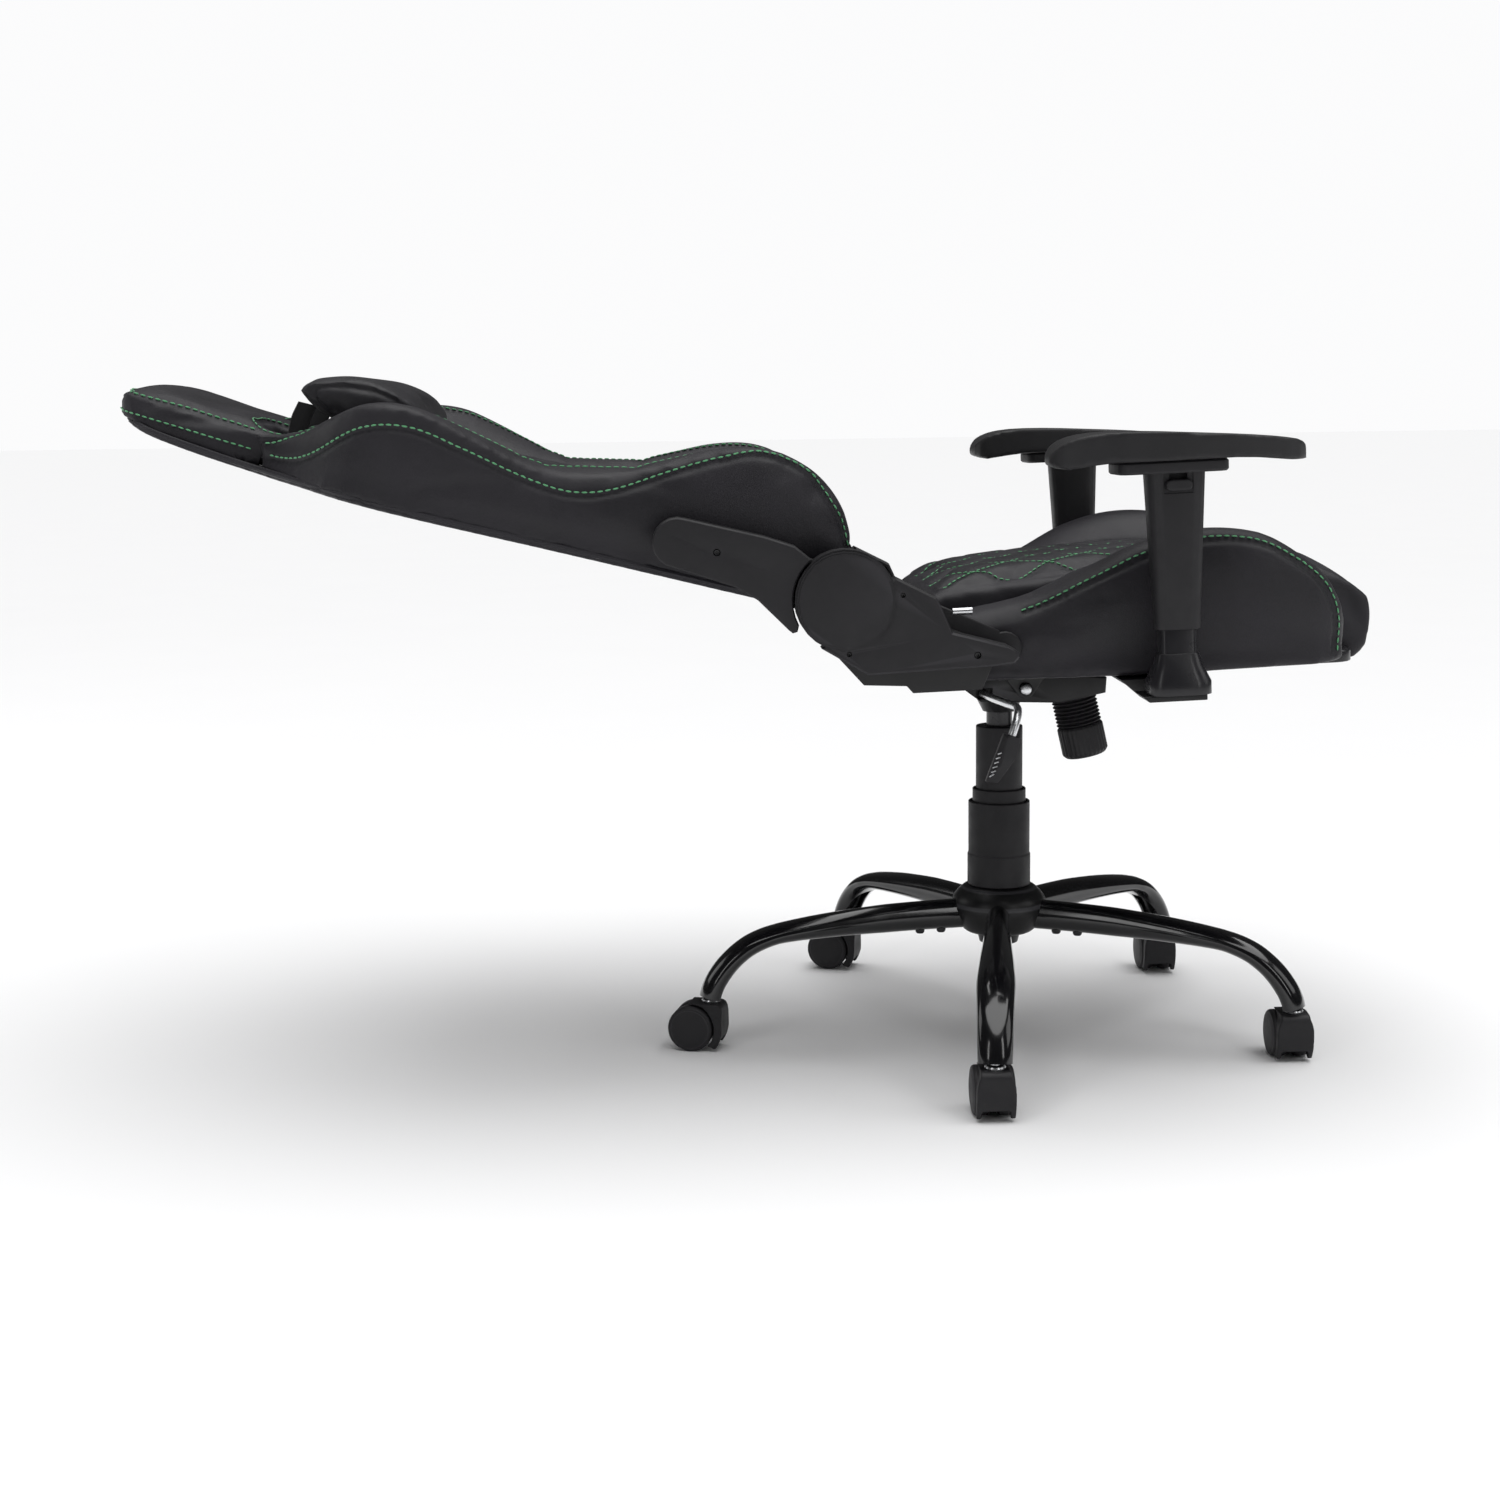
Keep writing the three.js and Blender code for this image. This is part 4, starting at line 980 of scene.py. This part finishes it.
def ribbon(path, across, width, thickness):
    """Points and faces of flat webbing along a path, its edges rounded."""
    path = np.asarray(path, float)
    across = np.asarray(across, float)
    tangents = np.gradient(path, axis=0)
    ring = []
    for k in range(16):
        angle = 2 * math.pi * k / 16
        u = math.copysign(abs(math.cos(angle)) ** 0.35, math.cos(angle)) * width / 2
        v = math.copysign(abs(math.sin(angle)) ** 0.6, math.sin(angle)) * thickness / 2
        ring.append((u, v))
    points = []
    for place, tangent in zip(path, tangents):
        up = np.cross(across, tangent)
        up /= np.linalg.norm(up)
        points += [place + across * u + up * v for u, v in ring]
    return points, ring_faces(len(path), len(ring))


def pillow_strap():
    solid = cad_points("pillow_strap", BACK)
    s = solid[:, 1].mean()
    rear = solid[:, 2].min() + 0.001
    x = 0.057
    route = [(-x, s - 0.004, 0.052), (-x, s, 0.036), (-x, s, rear + 0.012), (-x + 0.004, s, rear + 0.002),
             (-x + 0.014, s, rear), (0, s, rear), (x - 0.014, s, rear), (x - 0.004, s, rear + 0.002),
             (x, s, rear + 0.012), (x, s, 0.036), (x, s - 0.004, 0.052)]
    line = rounded(out_of(BACK, np.array(route)), 0.003, 2)
    across = np.array(BACK.to_3x3() @ Vector((0, 1, 0)))
    webbing = ribbon(line, across, 0.020, 0.0018)
    made("pillow_webbing", [webbing], 50, WEBBING, "backrest", "webbing", "pillow_strap")


# ---------------------------------------------------------------- five-leg base and casters

# Centre line of a leg as (r, z) in mm, then its half width and half height in mm at shares of its length.
LEG_LINE = [
    (34, 134), (90, 133.5), (140, 132), (190, 129), (230, 125.2), (256, 121), (278, 113), (294, 102.5),
    (307, 90), (317, 76), (322, 65), (324, 56.8),
]
LEG_WIDE = [(0, 12.5), (0.3, 14.5), (0.55, 18), (0.72, 19.6), (1, 17)]
LEG_HIGH = [(0, 16.5), (0.3, 15.6), (0.5, 13.2), (0.68, 10.5), (0.85, 11), (1, 12.5)]
LEG_WALL = 0.0022
CHANNEL_FROM = 0.74
CHANNEL_OPEN = math.radians(50)


def caster_name(number):
    return f"caster_{number}"


def leg_matrix(number):
    stem = Vector(JOINTS[caster_name(number) + "_swivel"]["pos_m"]) - CENTRE
    return CHAIR @ Matrix.Rotation(math.atan2(stem.y, stem.x), 4, "Z")


def leg(number):
    """A pressed tube that opens underneath into a channel over the caster stem."""
    matrix = leg_matrix(number)
    line = spline(LEG_LINE, 90)
    reach = reach_along(line)
    shares = reach / reach[-1]
    tangents = np.gradient(line, axis=0)
    points, faces = [], []
    count = 26
    for (r, z), (dr, dz), share in zip(line, tangents, shares):
        wide = np.interp(share, *zip(*LEG_WIDE)) / 1000
        high = np.interp(share, *zip(*LEG_HIGH)) / 1000
        length = math.hypot(dr, dz)
        normal = (-dz / length, dr / length)
        opening = CHANNEL_OPEN * np.clip((share - CHANNEL_FROM) / (1 - CHANNEL_FROM), 0.004, 1) ** 0.6
        for shell, wall in ((0, 0), (1, LEG_WALL)):
            angles = np.linspace(-math.pi / 2 + opening, 1.5 * math.pi - opening, count)
            for angle in angles if shell == 0 else angles[::-1]:
                u = (wide - wall) * math.cos(angle)
                v = (high - wall) * math.sin(angle)
                points.append(matrix @ Vector((r + normal[0] * v, u, z + normal[1] * v)))
    ring = 2 * count
    for row in range(len(line) - 1):
        for k in range(ring):
            a = row * ring + k
            b = row * ring + (k + 1) % ring
            faces.append((a, a + ring, b + ring, b))
    for row, flip in ((0, False), (len(line) - 1, True)):
        for k in range(count - 1):
            a, b = row * ring + k, row * ring + k + 1
            c, d = row * ring + ring - 2 - k, row * ring + ring - 1 - k
            faces.append((a, b, c, d) if not flip else (d, c, b, a))
    obj = smooth_shaded(object_from(f"leg_{number}_pressed", points, faces), 50)
    bm = bmesh.new()
    bm.from_mesh(obj.data)
    bmesh.ops.recalc_face_normals(bm, faces=bm.faces)
    bm.to_mesh(obj.data)
    bm.free()
    finished(obj, GLOSS_STEEL, "base", "gloss_black_steel", f"leg_{number}")


def screw_head(place, axis, radius, height=0.0022):
    """A pan-head screw with a round recess, seen from outside along its axis."""
    matrix = axis_frame(place, axis)
    profile = [(0.0001, -0.001), (radius * 0.45, -0.001), (radius * 0.5, height * 0.9),
               (radius * 0.72, height), (radius * 0.95, height * 0.6), (radius, 0.0), (radius, -0.002)]
    return turned(profile, matrix, 20)


def hub():
    profile = eased([(0.0236, 0.112), (0.037, 0.112), (0.047, 0.126), (0.0525, 0.139), (0.0515, 0.150),
                     (0.044, 0.159), (0.0365, 0.1652), (0.0236, 0.1652), (0.0236, 0.112)], 0.009, 5)
    casting = turned(profile, CHAIR, 72, False)
    made("hub_casting", [casting], 50, MATT_ENAMEL, "base", "gloss_black_steel", "hub")
    screws = []
    for number in range(1, 6):
        matrix = leg_matrix(number)
        down = matrix.to_3x3() @ Vector((0, 0, -1))
        for r in (0.066, 0.090):
            screws.append(screw_head(matrix @ Vector((r, 0, 0.1178)), down, 0.0052, 0.004))
    made("leg_screws", screws, 35, SATIN_STEEL, "base", "satin_steel")


def wheel_pair(number):
    name = caster_name(number) + "_wheels"
    joint = JOINTS[caster_name(number) + "_roll"]
    matrix = axis_frame(joint["pos_m"], joint["axis"])
    r = joint["pos_m"][2]
    wide = 0.0205
    half = [(0.0042, 0.0046), (r - 0.003, 0.0046), (r - 0.0005, 0.0054), (r, 0.0075), (r, wide - 0.0035),
            (r - 0.0008, wide - 0.0014), (r - 0.0026, wide - 0.0003), (r - 0.0036, wide - 0.0006),
            (r - 0.0044, wide - 0.0001), (r - 0.009, wide + 0.0007), (0.008, wide + 0.0010),
            (0.0002, wide + 0.0011)]
    profile = [(a, -b) for a, b in reversed(half)] + half
    wheels = turned(eased(profile, 0.0006, 2), matrix, 72)
    made(name + "_moulded", [wheels], 40, NYLON, name, "wheel_nylon", name)


def caster_hood(number):
    name = caster_name(number)
    obj = smooth_shaded(remeshed(name + "_hood_moulded", name + "_hood", 0.0010, 6), 50)
    finished(obj, PLASTIC, name, "black_plastic", name + "_hood")
    stem = Vector(JOINTS[name + "_swivel"]["pos_m"])
    foot = Matrix.Translation(stem - Vector((0, 0, 0.0235)))
    ring = [(0.0056, 0.0), (0.0098, 0.0), (0.0104, 0.0012), (0.0098, 0.0026), (0.0056, 0.0026)]
    bolt = [(0.0001, -0.002), (0.0057, -0.002), (0.0057, 0.019), (0.0048, 0.0205), (0.0001, 0.0205)]
    parts = [turned(ring, foot, 32), turned(eased(bolt, 0.0008, 2), foot, 24)]
    made(name + "_stem_bolt", parts, 35, ZINC, name, "zinc_steel")


# ---------------------------------------------------------------- gas lift and mechanism

# The three telescoping covers: an (r, z) profile for each, and the body that carries it.
TUBE_COVERS = {
    "lower": ("base", [(0.0305, 0.1653), (0.0344, 0.1653), (0.0344, 0.199), (0.0335, 0.2002),
                       (0.0335, 0.258), (0.0305, 0.258), (0.0305, 0.1653)]),
    "middle": ("cover_ring", [(0.0268, 0.215), (0.029, 0.215), (0.029, 0.272), (0.0268, 0.272),
                              (0.0268, 0.215)]),
    "upper": ("lift", [(0.0236, 0.240), (0.0253, 0.240), (0.0253, 0.341), (0.0144, 0.341), (0.0144, 0.337),
                       (0.0236, 0.337), (0.0236, 0.240)]),
}


def gas_lift():
    for name, (body, profile) in TUBE_COVERS.items():
        sleeve = turned(eased(profile, 0.0012, 3), CHAIR, 72, False)
        made(f"cover_{name}_sleeve", [sleeve], 40, PLASTIC, body, "black_plastic", f"cover_tube_{name}")
    rod = [(0.0001, 0.196), (0.014, 0.196), (0.014, 0.378), (0.012, 0.380), (0.0001, 0.380)]
    made("gas_rod", [turned(rod, CHAIR, 48)], 40, SATIN_STEEL, "lift", "satin_steel", "gas_piston")


KNOB_LENGTH = 0.068
RIB_LENGTH = 0.033
RIB_COUNT = 8
FLUTES = 30


def tension_knob():
    joint = JOINTS["tension_knob_turn"]
    matrix = axis_frame(joint["pos_m"], joint["axis"])
    ribs = [(0.0052, -0.009), (0.0052, 0.0)]
    for k in range(RIB_COUNT * 12 + 1):
        share = k / (RIB_COUNT * 12)
        wave = 0.5 - 0.5 * math.cos(2 * math.pi * share * RIB_COUNT)
        ribs.append((0.0218 + 0.0027 * wave, RIB_LENGTH * share))
    bellows = turned([(0.0001, -0.009)] + ribs + [(0.0001, RIB_LENGTH)], matrix, 64)
    sides = FLUTES * 6
    points = []
    grip = eased([(0.0001, RIB_LENGTH + 0.0002), (0.0228, RIB_LENGTH + 0.0002), (0.025, RIB_LENGTH + 0.0025),
                  (0.025, KNOB_LENGTH - 0.004), (0.0215, KNOB_LENGTH), (0.0001, KNOB_LENGTH)], 0.0012, 3)
    for r, z in grip:
        for k in range(sides):
            dip = 0.0007 * (0.5 + 0.5 * math.cos(2 * math.pi * k / 6)) if 0.024 < r else 0
            angle = 2 * math.pi * k / sides
            points.append(matrix @ Vector(((r - dip) * math.cos(angle), (r - dip) * math.sin(angle), z)))
    shell = (points, ring_faces(len(grip), sides, False))
    made("tension_knob_moulded", [bellows, shell], 40, PLASTIC, "tension_knob", "black_plastic",
         "tension_knob")


# Centre line of the height lever's rod in chair coordinates, mm.
ROD_LINE = [(-41, 24, 381.5), (-100, 20, 383), (-160, 15, 385.5), (-205, 11, 388), (-220, 12.5, 384),
            (-228, 16.5, 374), (-229, 20.5, 363)]
# Outline of the lever's grip in (y, z), and the ridge where its outer faces meet, in mm.
PADDLE_EDGE = [(28, 365), (13, 361.5), (17, 342), (24, 332), (34, 316), (46, 317), (43, 326)]
PADDLE_RIDGE = [(26, 362), (32, 335)]


def lever_paddle():
    """Two faces that meet in a ridge: the front one looks outward, the rear one slants back."""
    points = [(-220, y, z) for y, z in PADDLE_EDGE]
    points += [(-236, y, z) for y, z in PADDLE_EDGE[1:4]]
    points += [(-229, y, z) for y, z in PADDLE_EDGE[4:] + PADDLE_EDGE[:1]]
    points += [(-238, y, z) for y, z in PADDLE_RIDGE]
    bm = bmesh.new()
    for point in out_of(CHAIR, np.array(points, float) / 1000):
        bm.verts.new(point)
    bmesh.ops.convex_hull(bm, input=bm.verts)
    bmesh.ops.dissolve_limit(bm, angle_limit=math.radians(3), verts=bm.verts, edges=bm.edges)
    break_edges(bm, 0.0009, 3, 12)
    return smooth_shaded(object_from_bmesh("lever_paddle_moulded", bm), 30)


def height_lever():
    rod = swept(out_of(CHAIR, rounded(np.array(ROD_LINE) / 1000, 0.006, 3)), 0.004, 18)
    made("lever_rod", [rod], 50, ZINC, "height_lever", "zinc_steel", "height_lever_rod")
    paddle = lever_paddle()
    finished(paddle, PLASTIC, "height_lever", "black_plastic", "height_lever_paddle")
    tree = surface(paddle)
    # Small ribs on the paddle's outer face in bright zinc: their light colour is a painted highlight,
    # standing in for the light that the black plastic ridges catch.
    ribs = []
    for k in range(6):
        top = Vector((-0.2375, 0.0325 + 0.0016 * k, 0.3475 - 0.0045 * k))
        end = Vector((-0.2330, 0.0355 + 0.0018 * k, 0.3455 - 0.0045 * k))
        line = out_of(CHAIR, np.array([top, (top + end) / 2, end]))
        ribs.append(swept(laid_on(line, tree, 0.0002), 0.0007, 8))
    made("lever_grip_ribs_painted_highlight", ribs, 35, ZINC, "height_lever", "zinc_steel")


def plain_steel_parts():
    """Pressed, welded and turned steel whose shape the solids already have."""
    rows = [
        ("tilt_housing", MATT_ENAMEL, "mechanism", "gloss_black_steel", 0.0014),
        ("tilt_pin", ZINC, "mechanism", "zinc_steel", 0.0008),
        ("tilt_upper_plate", MATT_ENAMEL, "seat", "gloss_black_steel", 0.0010),
        ("seat_pan", SATIN_STEEL, "seat", "satin_steel", 0.0016),
        ("gas_column", SATIN_STEEL, "base", "satin_steel", 0.0006),
        ("recliner_shaft", SATIN_STEEL, "recline_release", "satin_steel", 0.0006),
        ("back_frame", SATIN_STEEL, "backrest", "satin_steel", 0.0),
    ]
    for side in SIDES:
        rows += [
            (f"arm_bracket_{side}", MATT_ENAMEL, "seat", "gloss_black_steel", 0.0010),
            (f"recliner_seat_bracket_{side}", MATT_ENAMEL, "seat", "gloss_black_steel", 0.0008),
            (f"recliner_back_bracket_{side}", MATT_ENAMEL, "backrest", "gloss_black_steel", 0.0008),
        ]
    for node, material, body, slot, edge in rows:
        if edge:
            obj = bevelled(node, edge)
        else:
            obj = smooth_shaded(object_from_bmesh(node + "_part", welded(node)))
        finished(obj, material, body, slot, node)


# Bolts under the upper plate, the arm brackets and the recliner brackets: x, rows in y, radius, height.
SEAT_BOLTS = [
    (0.066, (-0.100, 0.064), 0.0075, 0.0045),
    (0.165, (-0.145, -0.108), 0.0068, 0.004),
    (0.130, (0.064, 0.106), 0.0068, 0.004),
]


def mechanism_bolts():
    """Bolt heads under the seat, and the riveted ends of the tilt pin."""
    pin = Vector(JOINTS["seat_tilt"]["pos_m"])
    heads = []
    for side in (-1, 1):
        end = Vector((CENTRE.x + side * 0.0668, pin.y, pin.z))
        dome = [(0.0059, -0.001), (0.0059, 0.0004), (0.0052, 0.0016), (0.0036, 0.0025), (0.0001, 0.0029)]
        heads.append(turned(eased(dome, 0.0004, 2), axis_frame(end, (side, 0, 0)), 32))
    made("tilt_pin_heads", heads, 35, ZINC, "mechanism", "zinc_steel")
    heads = []
    down = SEAT.to_3x3() @ Vector((0, 0, -1))
    for x, rows, radius, height in SEAT_BOLTS:
        for side in (-1, 1):
            for y in rows:
                heads.append(screw_head(SEAT @ Vector((side * x, y, -0.0063)), down, radius, height))
    made("seat_bolts", heads, 35, ZINC, "seat", "zinc_steel")


# ---------------------------------------------------------------- armrests

def armrests():
    for side in SIDES:
        pad = remeshed(f"arm_pad_{side}_moulded", f"arm_pad_{side}", 0.0026, 3)
        finished(smooth_shaded(pad, 80), SOFT_TOUCH, f"arm_{side}", "arm_pad_foam", f"arm_pad_{side}")
        finished(bevelled(f"arm_sleeve_{side}", 0.0012, 3, 30), PLASTIC, f"arm_{side}", "black_plastic",
                 f"arm_sleeve_{side}")
        finished(bevelled(f"arm_post_{side}", 0.0006, 2, 40), SATIN_STEEL, "seat", "satin_steel",
                 f"arm_post_{side}")
        button = remeshed(f"arm_button_{side}_moulded", f"arm_button_{side}", 0.0009, 6)
        finished(smooth_shaded(button, 80), PLASTIC, f"arm_button_{side}", "black_plastic",
                 f"arm_button_{side}")


# ---------------------------------------------------------------- recliner covers

# Screws in the recliner covers: along and across the cover, and their radius, in mm.
COVER_SCREWS = {"seat": [(57.8, 34, 3.4), (127.7, 95.5, 2.4), (181.7, 41.4, 2.4)], "back": [(131, 15, 3.4)]}
COVER_FACE = 0.264


def recliner():
    for side, sign in SIDES.items():
        for part, body, matrix in (("seat", "seat", SEAT), ("back", "backrest", BACK)):
            node = f"recliner_{part}_cover_{side}"
            finished(bevelled(node, 0.0011, 3, 25), PLASTIC, body, "black_plastic", node)
            heads = []
            for y, h, r in COVER_SCREWS[part]:
                place = matrix @ Vector((sign * (COVER_FACE - 0.0045), y / 1000, h / 1000))
                heads.append(screw_head(place, (sign, 0, 0), r / 1000))
            made(f"recliner_{part}_screws_{side}", heads, 35, SATIN_STEEL, body, "satin_steel")
    spring = out_of(SEAT, np.array([[-0.2405, y, 0.0752] for y in (0.059, 0.066, 0.078)]))
    made("recliner_spring", [swept(spring, 0.0036, 16)], 35, ZINC, "seat", "zinc_steel")
    finished(bevelled("recline_lever", 0.0012, 3, 30), PLASTIC, "recline_release", "black_plastic",
             "recline_lever")
    finished(bevelled("strap_buckle", 0.0010, 2, 30), PLASTIC, "backrest", "black_plastic", "strap_buckle")


# ---------------------------------------------------------------- stage

def pale_floor():
    n = Nodes("pale_floor")
    colour = n.mixed(n.noise(3, 2), (0.90, 0.90, 0.905), (0.8865, 0.8865, 0.891425))
    return n.set(Base_Color=colour, Roughness=0.85)


def area_light(name, place, aim, size, power):
    data = bpy.data.lights.new(name, "AREA")
    data.shape = "RECTANGLE"
    data.size, data.size_y = size
    data.energy = power
    light = new_object(name, data)
    light.location = place
    light.rotation_euler = (Vector(aim) - Vector(place)).to_track_quat("-Z", "Y").to_euler()
    return light


def studio_world():
    """A white backdrop for the eye, and only a dim glow of it on the chair."""
    world = bpy.data.worlds.new("studio")
    bpy.context.scene.world = world
    world.use_nodes = True
    nodes, links = world.node_tree.nodes, world.node_tree.links
    seen = nodes["Background"]
    seen.inputs["Color"].default_value = (0.97, 0.97, 0.975, 1)
    glow = nodes.new("ShaderNodeBackground")
    glow.inputs["Color"].default_value = (1, 1, 1, 1)
    glow.inputs["Strength"].default_value = 0.05
    either = nodes.new("ShaderNodeMixShader")
    links.new(nodes.new("ShaderNodeLightPath").outputs["Is Camera Ray"], either.inputs["Fac"])
    links.new(glow.outputs[0], either.inputs[1])
    links.new(seen.outputs[0], either.inputs[2])
    links.new(either.outputs[0], nodes["World Output"].inputs["Surface"])


def stage():
    floor = object_from("floor", [(-60, -60, 0), (60, -60, 0), (60, 60, 0), (-60, 60, 0)], [(0, 1, 2, 3)])
    floor.data.materials.append(pale_floor())
    studio_world()
    sky = bpy.data.lights.new("overhead", "SUN")
    sky.energy = 3.3
    sky.angle = math.radians(75)
    overhead = new_object("overhead", sky)
    overhead.rotation_euler = (0.06, 0.0, 0)
    middle = (0, 0, 0.45)
    area_light("strip_ahead", (-2.5, -1.7, 1.5), middle, (0.4, 1.8), 8)
    area_light("strip_behind", (-2.5, 1.9, 1.5), middle, (0.4, 1.8), 8)
    area_light("front", (-1.0, -3.2, 1.8), middle, (1.6, 1.6), 12)
    area_light("rear", (1.2, 3.4, 1.8), middle, (1.6, 1.6), 10)


FOCAL_PIXELS = 2185.8
IMAGE_PIXELS = 1500
SENSOR = 36.0


def camera():
    data = bpy.data.cameras.new("camera")
    data.sensor_width = SENSOR
    data.lens = FOCAL_PIXELS / IMAGE_PIXELS * SENSOR
    obj = new_object("camera", data)
    place = CENTRE + Vector((-2.3526, 0.3398, 0.679))
    yaw, pitch, roll = math.radians(1.64), math.radians(8.71), math.radians(-0.82)
    forward = Vector((math.cos(yaw) * math.cos(pitch), -math.sin(yaw) * math.cos(pitch), -math.sin(pitch)))
    turn = forward.to_track_quat("-Z", "Y").to_matrix().to_4x4()
    obj.matrix_world = Matrix.Translation(place) @ turn @ Matrix.Rotation(roll, 4, "Z")
    data.clip_end = 60
    bpy.context.scene.camera = obj


# ---------------------------------------------------------------- the chair

stage()
camera()
hub()
for caster in range(1, 6):
    leg(caster)
    caster_hood(caster)
    wheel_pair(caster)
gas_lift()
tension_knob()
height_lever()
plain_steel_parts()
mechanism_bolts()
armrests()
recliner()
seat_cushion()
seat_bolsters()
back_cushion()
back_bolsters()
rear_shell()
neck_pillow()
pillow_strap()

bpy.context.scene.view_settings.view_transform = "Standard"
